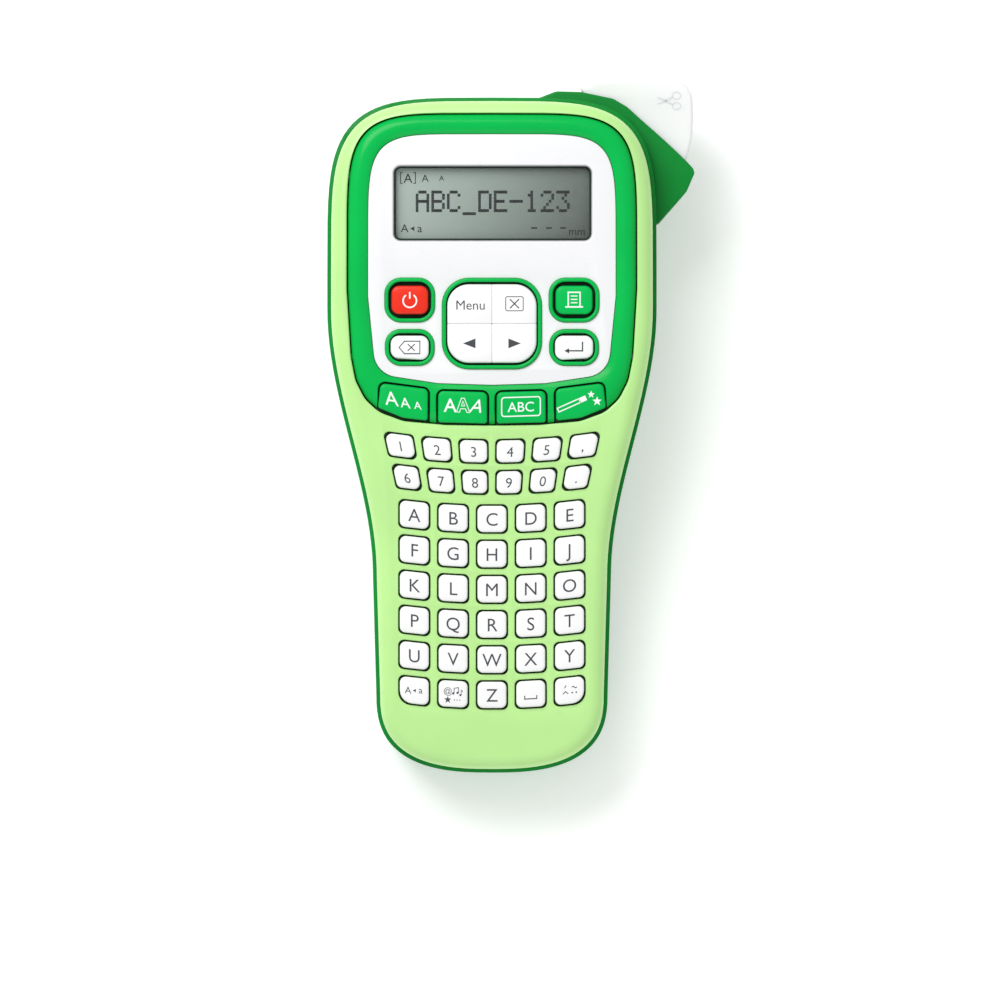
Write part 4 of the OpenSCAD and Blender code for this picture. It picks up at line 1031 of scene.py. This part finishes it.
def rear_shell():
    shell = shell_of_tub("rear_shell")
    cut(shell, prism("opening", cover_outline(0), FAR_DOWN, COVER_TOP))
    holes = []
    slot = prism("wing_slot", hollow_outline(), WING_LOW + WING_PLATE, WING_TOP - WING_PLATE)
    cut(slot, prism("core", case_outline(WALL + 1), FAR_DOWN, 5))
    holes.append(slot)
    holes.append(prism("socket", rectangle(-HEAD_W / 2, HEAD_V + 12, 8, 9.4), -18.5, -9.5))
    for u, v in SCREWS:
        holes.append(disc("recess", u, v, 2.6, -60, -9, 24))
    for hole in holes:
        cut(shell, hole)
    soften(shell, 0.3, 2, 50)
    seated(shell, "housing", "rear_case", slot="rear_green", finish=REAR_GREEN)
    posts = []
    for u, v in SCREWS:
        post = disc("post", u, v, 3.4, -min(depth_at(v) - 1.2, 16), 0, 24)
        cut(post, disc("hole", u, v, 1.3, -60, 2, 16))
        cut(post, disc("recess", u, v, 2.6, -60, -9, 24))
        posts.append(post)
    posts = join("screw_posts", posts)
    cut(posts, tub_keep(), "INTERSECT")
    seated(posts, "housing", slot="rear_green", finish=REAR_GREEN)
    pads = []
    for u, v in FEET:
        rings = []
        for r, drop in ((2.6, -2.6), (2.6, 0.35), (2.45, 0.65), (2.1, 0.8)):
            ring = []
            for k in range(24):
                q = 2 * math.pi * k / 24
                x, y = u + r * math.cos(q), v + r * math.sin(q)
                ring.append((x, y, rest_w(y) + FOOT_H - drop))
            rings.append(ring)
        pads.append(skin("pad", rings))
    seated(join("feet", pads), "housing", slot="rear_green", finish=ROLLER)


def tub_keep():
    return tub("keep", 0.4, 0.4, 1)


def disc(name, u, v, r, low, high, sides=32):
    """An upright cylinder."""
    return prism(name, [(u + r * math.cos(2 * math.pi * k / sides), v + r * math.sin(2 * math.pi * k / sides))
                        for k in range(sides)], low, high)


def back_cover():
    cover = shell_of_tub("cover_panel")
    cut(cover, prism("keep", cover_outline(0.3), FAR_DOWN, COVER_TOP), "INTERSECT")
    # Finger grooves across the cover's lower end
    for k in range(5):
        v = 44 + 3.2 * k
        half = 9 - 0.5 * abs(k - 2)
        turns = arc(0, 2 * math.pi, 11)[:-1]
        ends = [[(u, v + 0.8 * math.cos(q), -depth_at(v) + 0.55 * math.sin(q)) for q in turns]
                for u in (-half, half)]
        cut(cover, skin("groove", ends))
    soften(cover, 0.3, 2, 50)
    seated(cover, "rear_cover", "back_cover", slot="rear_green", finish=REAR_GREEN)
    ribs = []
    for u in (-22, 18):
        ribs.append(prism("rib", rectangle(u, HEAD_V + 9.5, 1.6, 30), -60, -27.8))
    ribs = join("cover_ribs", ribs)
    cut(ribs, tub("inside", WALL - 0.4, WALL - 0.4, 1.5), "INTERSECT")
    seated(ribs, "rear_cover", slot="rear_green", finish=REAR_GREEN)


# ---------------------------------------------------------------- tape housing and cutter lever
# One radius for each corner of HOUSING, from the last to the first
HOUSING_ROUNDS = [0.6, 0.6, 1.2, 2, 0.8, 0.5, 1, 3, 3, 5, 5, 5, 5, 4, 3, 0.6]


def wing_housing():
    outline = round_path(list(reversed(HOUSING)), HOUSING_ROUNDS, 5)
    wing = soften(prism("tape_housing", outline, WING_LOW, WING_TOP), 1.3, 4, 50)
    cut(wing, prism("hollow", hollow_outline(), WING_LOW + WING_PLATE, WING_TOP - WING_PLATE))
    cut(wing, prism("core", case_outline(WALL), FAR_DOWN, 5))
    mouth = [wing_at(-4, -3.4), wing_at(6, -3.4), wing_at(6, 3.4), wing_at(-4, 3.4)]
    mouth = mouth if area(mouth) > 0 else list(reversed(mouth))
    cut(wing, prism("mouth", mouth, -26.1, -11.7))
    soften(wing, 0.25, 2, 55)
    seated(wing, "housing", slot="rear_green", finish=REAR_GREEN)
    lugs = []
    for low in (WING_LOW, WING_TOP - WING_PLATE):
        lug = disc("lug", *PIVOT, 4.9, low + 0.05, low + WING_PLATE - 0.05, 32)
        cut(lug, disc("hole", *PIVOT, 1.5, FAR_DOWN, 5, 24))
        lugs.append(lug)
    seated(soften(join("pivot_lugs", lugs), 0.2), "housing", slot="rear_green", finish=REAR_GREEN)


def area(path):
    return sum(a[0] * b[1] - b[0] * a[1] for a, b in zip(path, path[1:] + path[:1])) / 2


LEVER_TOP = WING_TOP - WING_PLATE - LEVER_GAP
LEVER_LOW = WING_LOW + WING_PLATE + LEVER_GAP + LEVER_RISE


def lever_outline(d=0.0):
    """Outer edge of the lever and its straight inner edge, shrunk by d."""
    bow = [(54.6 + (5.4 - d) * math.cos(math.radians(q)), 200.3 + (6.2 - d) * math.sin(math.radians(q)))
           for q in range(80, -1, -10)]
    edge = [(26.2 + d, 204.6 - d), (31.1, 206.3 - d), (40.5, 207.3 - d), (48.2, 207.1 - d)] + bow + [
        (60.1 - d, 195.2), (59.8 - d, 189.4), (58.3 - d, 183.2 + 0.4 * d), (56.5 - d, 180.0 + d)]
    edge += [wing_at(7, 8 + d), wing_at(11, 6.4 + d), wing_at(34, 5.4 + d), wing_at(38, 6 + d)]
    return round_path(list(reversed(edge)), 0.8, 4)


def cutter_lever():
    edge = 1.1
    count = 180
    def ring(d, w):
        return level(evenly(lever_outline(d), count), w)
    rings = [ring(0.35, LEVER_LOW), ring(0, LEVER_LOW + 0.35), ring(0, LEVER_TOP - edge)]
    for q in arc(0, math.pi / 2, 4)[1:]:
        rings.append(ring(edge * (1 - math.cos(q)), LEVER_TOP - edge + edge * math.sin(q)))
    lever = skin("lever_body", rings)
    # Hollow from below, except for the web that carries the blade
    well = evenly(lever_outline(1.6), count)
    cut(lever, prism("well", well, LEVER_LOW - 2, LEVER_TOP - 1.6))
    hub = disc("hub", *PIVOT, 3.9, LEVER_LOW + 0.03, LEVER_TOP - 0.3, 40)
    web = prism("web", [wing_at(11, 6.5), wing_at(32, 6.5), wing_at(32, 7.9), wing_at(11, 7.9)],
                LEVER_LOW + 0.14, LEVER_TOP - 0.62)
    clamp = prism("clamp", [wing_at(10.6, 5), wing_at(13.4, 5), wing_at(13.4, 6.9), wing_at(10.6, 6.9)],
                  LEVER_LOW + 0.1, LEVER_TOP - 0.5)
    for part in (hub, web, clamp):
        cut(lever, part, "UNION")
    cut(lever, disc("bore", *PIVOT, 1.55, FAR_DOWN, 0, 32))
    cut(lever, prism("kerf", [wing_at(11.75, 3), wing_at(12.25, 3), wing_at(12.25, 6), wing_at(11.75, 6)],
                     -26, -11.8))
    seated(lever, "cutter", "cutter_lever", slot="lever_white", finish=LEVER_WHITE)


# ---------------------------------------------------------------- legends
MARK_DEPTH = 0.14
CAPITAL = 0.729  # height of a capital letter in the built-in font, as a share of its size


def lay(parts, name, body, finish):
    """Joins flat marks, gives them thickness and seats them."""
    mark = join(name, parts)
    edit(mark)
    bpy.ops.mesh.extrude_region_move(TRANSFORM_OT_translate={"value": (0, 0, -MARK_DEPTH)})
    done()
    fix_normals(mark)
    seated(mark, body, finish=finish, angle=30)


def moved(piece, matrix):
    piece.data.transform(matrix)
    piece.data.update()
    return piece


def frame_at(u, v, w, lean=0.0, slope=0.0):
    """Place for a mark: its own x axis follows the slope, and its y axis leans."""
    x = mathutils.Vector((1, slope, 0)).normalized()
    y = mathutils.Vector((lean, 1, 0)).normalized()
    return mathutils.Matrix((
        (x.x, y.x, 0, u), (x.y, y.y, 0, v), (0, 0, 1, w), (0, 0, 0, 1)))


def letters(text, height, thin=0.0, shear=0.0):
    """Flat letters centred on the origin. Height is that of a capital; a negative thin makes them bolder."""
    clear()
    bpy.ops.object.text_add()
    piece = bpy.context.object
    piece.data.body = text
    piece.data.align_x = "CENTER"
    piece.data.resolution_u = 4
    piece.data.size = height / CAPITAL
    piece.data.offset = -thin / height * CAPITAL if thin > 0 else -thin
    piece.data.shear = shear
    only(piece)
    bpy.ops.object.convert(target="MESH")
    piece = bpy.context.object
    return moved(piece, mathutils.Matrix.Translation((0, -height / 2, 0)))


def patch(outline):
    """A flat face."""
    clear()
    bpy.ops.mesh.primitive_circle_add(vertices=len(outline), radius=1, fill_type="NGON")
    piece = bpy.context.object
    for vertex, p in zip(piece.data.vertices, outline):
        vertex.co = (p[0], p[1], 0)
    return piece


def line(path, width, closed=False):
    """A flat line of even width along a path."""
    count = len(path)
    points = [mathutils.Vector(p) for p in path]
    sides = []
    for i, p in enumerate(points):
        before = points[i - 1] if i or closed else None
        after = points[(i + 1) % count] if i < count - 1 or closed else None
        d = (p - before).normalized() if before is not None else (after - p).normalized()
        e = (after - p).normalized() if after is not None else d
        m, n = mathutils.Vector((-d.y, d.x)), mathutils.Vector((-e.y, e.x))
        offset = (m + n) / max(0.35, 1 + m.dot(n)) * width / 2
        sides.append((p + offset, p - offset))
    if closed:
        sides.append(sides[0])
    clear()
    bpy.ops.mesh.primitive_grid_add(x_subdivisions=1, y_subdivisions=len(sides) - 1, size=1)
    piece = bpy.context.object
    for i, (a, b) in enumerate(sides):
        piece.data.vertices[2 * i].co = (a.x, a.y, 0)
        piece.data.vertices[2 * i + 1].co = (b.x, b.y, 0)
    edit(piece)
    bpy.ops.mesh.remove_doubles(threshold=0.00001)
    done()
    return piece


def circle_path(u, v, r, low=0, high=360, steps=24):
    turns = [math.radians(q) for q in arc(low, high, steps)]
    return [(u + r * math.cos(q), v + r * math.sin(q)) for q in turns]


def star(u, v, r):
    return patch([(u + (r if k % 2 == 0 else 0.42 * r) * math.sin(math.pi * k / 5),
                   v + (r if k % 2 == 0 else 0.42 * r) * math.cos(math.pi * k / 5)) for k in range(10)])


def set_at(parts, matrix):
    return [moved(part, matrix) for part in parts]


def legend(key, ink, parts, *place):
    """The one legend of a key, set at its place and laid on the key's body."""
    lay(set_at(parts, frame_at(*place)), key + "_legend", key + "_body", ink)


MARK_LIFT = 0.02


def centre(quad):
    return sum(p[0] for p in quad) / 4, sum(p[1] for p in quad) / 4


def character_legends():
    rows = ("ABCDE", "FGHIJ", "KLMNO", "PQRST", "UVWXY")
    for r, (name, row) in enumerate(zip(LETTER_ROWS, rows)):
        parts = []
        for c, text in zip(LETTER_COLS, row):
            u, v = centre(letter_quad(c, r))
            parts += set_at([letters(text, 4.0, 0.055)], frame_at(u, v, CHAR_TOP, 0, u / ROW_RADIUS))
        lay(parts, name + "_legends", name + "_body", INK_GREY)
    for name, text, quad in (("number_keys_upper", "12345,", upper_number),
                             ("number_keys_lower", "67890.", lower_number)):
        parts = []
        for c, t in zip(NUMBER_COLS, text):
            u, v = centre(quad(c))
            parts += set_at([letters(t, 3.1, 0.045)],
                            frame_at(u, v - 0.1, CHAR_TOP, u / (v - FAN_V), u / ROW_RADIUS))
        lay(parts, name + "_legends", name + "_body", INK_GREY)
    parts = []

    def on(c, items, up=0.0, side=0.0):
        u, v = centre(letter_quad(c, 5))
        parts.extend(set_at(items, frame_at(u + side, v + up, CHAR_TOP, 0, u / ROW_RADIUS)))
    on(-2, [letters("A", 2.1, 0.02)], 0.25, -1.85)
    on(-2, [letters("a", 2.1, 0.02)], 0.25, 1.85)
    on(-2, [patch([(-0.45, 0), (0.45, -0.5), (0.45, 0.5)])], 0.05)
    on(-1, [letters("@", 1.9, 0.02)], 1.0, -1.6)
    on(-1, [star(0, 0, 1.1)], -1.7, -1.6)
    on(-1, [patch(circle_path(x, 0, 0.17, 0, 330, 10)) for x in (0, 0.8, 1.6)], -1.8, 0.4)
    note = [line([(0.4, -0.7), (0.4, 0.8), (1.7, 1.05), (1.7, -0.45)], 0.2),
            patch(circle_path(0.12, -0.75, 0.36, 0, 330, 10)),
            patch(circle_path(1.42, -0.5, 0.36, 0, 330, 10)),
            line([(2.5, -1.1), (2.5, 0.4), (3.0, -0.1)], 0.18),
            patch(circle_path(2.25, -1.15, 0.32, 0, 330, 10))]
    on(-1, note, 0.9, -0.1)
    on(0, [letters("Z", 4.0, 0.055)])
    on(1, [line([(-1.8, 0.55), (-1.8, -0.45), (1.8, -0.45), (1.8, 0.55)], 0.3)], -1.0)
    wave = [(-0.75 + 1.5 * t, 0.22 * math.sin(2 * math.pi * t)) for t in arc(0, 1, 12)]
    on(2, [line([(-1.0, -0.35), (-0.5, 0.45)], 0.26)], 1.2, -0.5)
    on(2, [line(wave, 0.26)], 1.1, 1.4)
    on(2, [line([(-0.8, -0.35), (0, 0.4), (0.8, -0.35)], 0.26)], -0.65, -1.2)
    on(2, [patch(circle_path(x, 0, 0.24, 0, 330, 10)) for x in (0, 1.2)], -0.55, 0.8)
    lay(parts, "letter_keys_bottom_legends", "letter_keys_bottom_body", INK_GREY)


def panel_legends():
    w = PANEL_KEY_TOP + MARK_LIFT
    parts = [line(circle_path(0, 0, 2.0, 124, 416, 30), 0.44), line([(0, 0.6), (0, 2.6)], 0.44)]
    legend("power_key", INK_WHITE, parts, -SIDE_KEY_U, UPPER_KEY_V - 0.2, w)
    # A printed page over a tray
    parts = [line([(-1.75, -1.9), (-1.75, 2.3), (1.75, 2.3), (1.75, -1.9)], 0.42),
             patch(rectangle(0, -2.05, 5.3, 0.46))]
    parts += [patch(rectangle(0, y, 2.0, 0.32)) for y in (1.2, 0.2, -0.8)]
    legend("print_key", INK_WHITE, parts, SIDE_KEY_U, UPPER_KEY_V, w)
    parts = [line([(-3.2, 0), (-1.6, 1.85), (3.0, 1.85), (3.0, -1.85), (-1.6, -1.85)], 0.26, True),
             line([(-0.6, 1.0), (1.5, -1.0)], 0.29), line([(-0.6, -1.0), (1.5, 1.0)], 0.29)]
    legend("backspace_key", INK_GREY, parts, -SIDE_KEY_U, LOWER_KEY_V, w)
    parts = [line([(2.5, 1.7), (2.5, -1.0), (-1.9, -1.0)], 0.39),
             patch([(-2.9, -1.0), (-1.5, -1.75), (-1.5, -0.25)])]
    legend("enter_key", INK_GREY, parts, SIDE_KEY_U, LOWER_KEY_V, w)
    legend("menu_key", INK_GREY, [letters("Menu", 2.9, 0.03)], -6.4, PAD_V + 5.6, w)
    parts = [line(round_path(rectangle(0, 0, 5.2, 4.2), 0.5, 4), 0.24, True),
             line([(-1.35, 1.35), (1.35, -1.35)], 0.34), line([(-1.35, -1.35), (1.35, 1.35)], 0.34)]
    legend("cancel_key", INK_GREY, parts, 6.7, PAD_V + 5.9, w)
    for side, name in ((-1, "cursor_left_key"), (1, "cursor_right_key")):
        arrow = [(side * 1.9, 0), (side * -1.8, -1.45), (side * -1.8, 1.45)]
        arrow = arrow if area(arrow) > 0 else list(reversed(arrow))
        legend(name, INK_GREY, [patch(arrow)], side * 6.7, PAD_V - 5.9, w)


def function_legends():
    w = FUNCTION_TOP + MARK_LIFT
    parts = []
    for u, v, height in ((-29.9, 111.6, 4.4), (-25.8, 110.3, 3.2), (-22.1, 109.5, 2.4)):
        parts += set_at([letters("A", height, 0.0)], frame_at(u, v, w, -0.1, -0.14))
    lay(parts, "text_size_key_legend", "text_size_key_body", INK_WHITE)
    parts = set_at([letters("A", 4.2, -0.035)], frame_at(-12.4, 109.6, w, 0, -0.04))
    outer = [(-2.0, -2.1), (-0.45, 2.1), (0.45, 2.1), (2.0, -2.1), (1.1, -2.1), (0.72, -1.05), (-0.72, -1.05),
             (-1.1, -2.1)]
    hollow = [line(outer, 0.22, True), line([(-0.5, -0.2), (0, 1.25), (0.5, -0.2)], 0.2, True)]
    parts += set_at(hollow, frame_at(-8.6, 109.5, w, -0.02, -0.04))
    parts += set_at([letters("A", 4.2, 0.0, 0.35)], frame_at(-5.1, 109.4, w, 0, -0.03))
    lay(parts, "text_style_key_legend", "text_style_key_body", INK_WHITE)
    parts = [line(round_path(rectangle(0, 0, 11.5, 5.6), 0.8, 4), 0.36, True), letters("ABC", 3.0, -0.01)]
    legend("frame_key", INK_WHITE, parts, 8.65, 109.1, w, 0, 0.03)
    parts = [line([(-4.6, 0.6), (2.4, 0.6), (2.4, -0.6), (-4.6, -0.6)], 0.34, True),
             patch(rectangle(3.4, 0, 2.2, 1.5))]
    parts = set_at(parts, frame_at(23.9, 109.9, w) @ mathutils.Matrix.Rotation(math.radians(24), 4, "Z"))
    parts += set_at([star(29.5, 112.7, 1.15), star(31.3, 110.7, 1.45)], frame_at(0, 0, w))
    lay(parts, "decoration_key_legend", "decoration_key_body", INK_WHITE)


# Rows of five by seven dots, from the top, each a row of five bits
GLYPHS = {
    "A": (14, 17, 17, 31, 17, 17, 17), "B": (30, 17, 17, 30, 17, 17, 30), "C": (14, 17, 16, 16, 16, 17, 14),
    "D": (30, 17, 17, 17, 17, 17, 30), "E": (31, 16, 16, 30, 16, 16, 31), "-": (0, 0, 0, 31, 0, 0, 0),
    "_": (0, 0, 0, 0, 0, 0, 0, 31), "1": (4, 12, 4, 4, 4, 4, 14), "2": (14, 17, 1, 2, 4, 8, 31),
    "3": (31, 2, 4, 2, 1, 17, 14)}
LCD_LEVEL = FLOOR_W - 0.6


def display_marks():
    """Dots and signs on the display's glass: a row of characters and a few small signs."""
    parts = []
    pitch, dot = 0.92, 0.88
    for k, sign in enumerate("ABC_DE-123"):
        for row, bits in enumerate(GLYPHS[sign]):
            for col in range(5):
                if bits >> (4 - col) & 1:
                    u = -22.3 + k * 4.65 + col * 0.8
                    v = HEAD_V + 23.0 - row * pitch
                    parts.append(patch(rectangle(u, v, 0.8, dot)))
    top, low = HEAD_V + 27.2, HEAD_V + 12.3
    parts += set_at([letters("A", 2.9, -0.01)], frame_at(-25.0, top, 0))
    for side in (-1, 1):
        near, far = -25 + side * 1.6, -25 + side * 2.2
        parts.append(line([(near, top + 1.6), (far, top + 1.6), (far, top - 1.6), (near, top - 1.6)], 0.26))
    parts += set_at([letters("A", 2.2, -0.01)], frame_at(-19.9, top, 0))
    parts += set_at([letters("A", 1.6, -0.01)], frame_at(-15.0, top, 0))
    parts += set_at([letters("A", 2.5, -0.01)], frame_at(-26.0, low, 0))
    parts += set_at([patch([(-0.6, 0), (0.6, -0.7), (0.6, 0.7)])], frame_at(-23.7, low - 0.2, 0))
    parts += set_at([letters("a", 2.5, -0.01)], frame_at(-21.5, low, 0))
    for u in (12.6, 17, 21.2):
        parts.append(patch(rectangle(u, low, 1.7, 0.5)))
    parts += set_at([letters("mm", 2.4, -0.03)], frame_at(25.3, low - 0.9, 0))
    for part in parts:
        moved(part, mathutils.Matrix.Translation((0, 0, LCD_LEVEL + 0.03)))
    lay(parts, "display_marks", "housing", INK_NAVY)


def scissors():
    """A pair of open scissors: two crossed blades and two finger rings, raised a little; their tint, greyer
    than the lever's white, is painted shade.
    """
    parts = []
    for side in (-1, 1):
        ring = [(side * 1.55 + 1.05 * math.cos(q), -2.3 + 1.25 * math.sin(q))
                for q in arc(0, 2 * math.pi, 24)[:-1]]
        parts.append(line(ring, 0.36, True))
        blade = [(side * u, v) for u, v in (
            (0.95, -1.25), (0.35, -0.3), (-0.5, 1.2), (-1.15, 3.3), (-0.75, 3.35), (0.05, 1.5), (0.95, -0.2),
            (1.35, -1.15))]
        parts.append(patch(blade if area(blade) > 0 else list(reversed(blade))))
    turn = frame_at(52.8, 200.5, LEVER_TOP + 0.1) @ mathutils.Matrix.Rotation(math.radians(90), 4, "Z")
    lay(set_at(parts, turn), "scissors_mark", "cutter", RELIEF_PAINTED_SHADE)


front_shell()
display_frame()
face_panel()
character_keys()
panel_keys()
function_keys()
painted_shade_lips()
rear_shell()
back_cover()
wing_housing()
cutter_lever()
character_legends()
panel_legends()
function_legends()
display_marks()
scissors()

# ---------------------------------------------------------------- floor, light and camera
scene = bpy.context.scene
clear()
bpy.ops.mesh.primitive_plane_add(size=12)
floor = bpy.context.object
floor.name = "floor"
edit(floor)
bpy.ops.mesh.subdivide(number_cuts=3)
done()
ground = Finish("floor_white")
ground.feed(
    Base_Color=ground.mix(ground.noise(3), (0.9, 0.9, 0.9), (0.93, 0.93, 0.93)),
    Roughness=ground.spread(ground.noise(8), 0.3, 0.7, 0.5, 0.6),
    Emission_Color=ground.mix(ground.noise(2), (0.95, 0.95, 0.95), (1, 1, 1)))
ground.shader.inputs["Emission Strength"].default_value = 0.34
floor.data.materials.append(ground.material)
floor.location = (0, 0, -0.0004)

down = (SEAT.to_3x3() @ mathutils.Vector((0, 0, 1))).normalized()
target = SEAT @ mathutils.Vector((2.4, 81.3, FACE_W))
distance = 6.0


def lamp(name, place, size, power):
    """A square area light aimed at the middle of the object."""
    clear()
    bpy.ops.object.light_add(type="AREA", location=place)
    light = bpy.context.object
    light.name = name
    light.data.size = size
    light.data.energy = power
    towards = mathutils.Vector((0, 0, 0.03)) - mathutils.Vector(place)
    light.rotation_euler = towards.to_track_quat("-Z", "Y").to_euler()


lamp("key_light", (-0.42, 0.55, 0.95), 0.7, 9.4)
lamp("fill_light", (0.9, -0.1, 0.8), 0.9, 0.4)
lamp("low_light", (0.0, -0.9, 0.6), 0.8, 1.6)

world = bpy.data.worlds.new("studio")
scene.world = world
world.use_nodes = True
world.node_tree.nodes["Background"].inputs["Color"].default_value = (1, 1, 1, 1)
world.node_tree.nodes["Background"].inputs["Strength"].default_value = 0.5

clear()
bpy.ops.object.camera_add()
camera = bpy.context.object
camera.name = "camera"
camera.data.sensor_width = 36
camera.data.lens = 36 * (distance / 0.2976)
camera.location = target + down * distance
up = (SEAT.to_3x3() @ mathutils.Vector((0, 1, 0))).normalized()
side = up.cross(down)
camera.rotation_euler = mathutils.Matrix((side, up, down)).transposed().to_euler()
camera.data.clip_start = 0.01
scene.camera = camera
scene.view_settings.view_transform = "Standard"
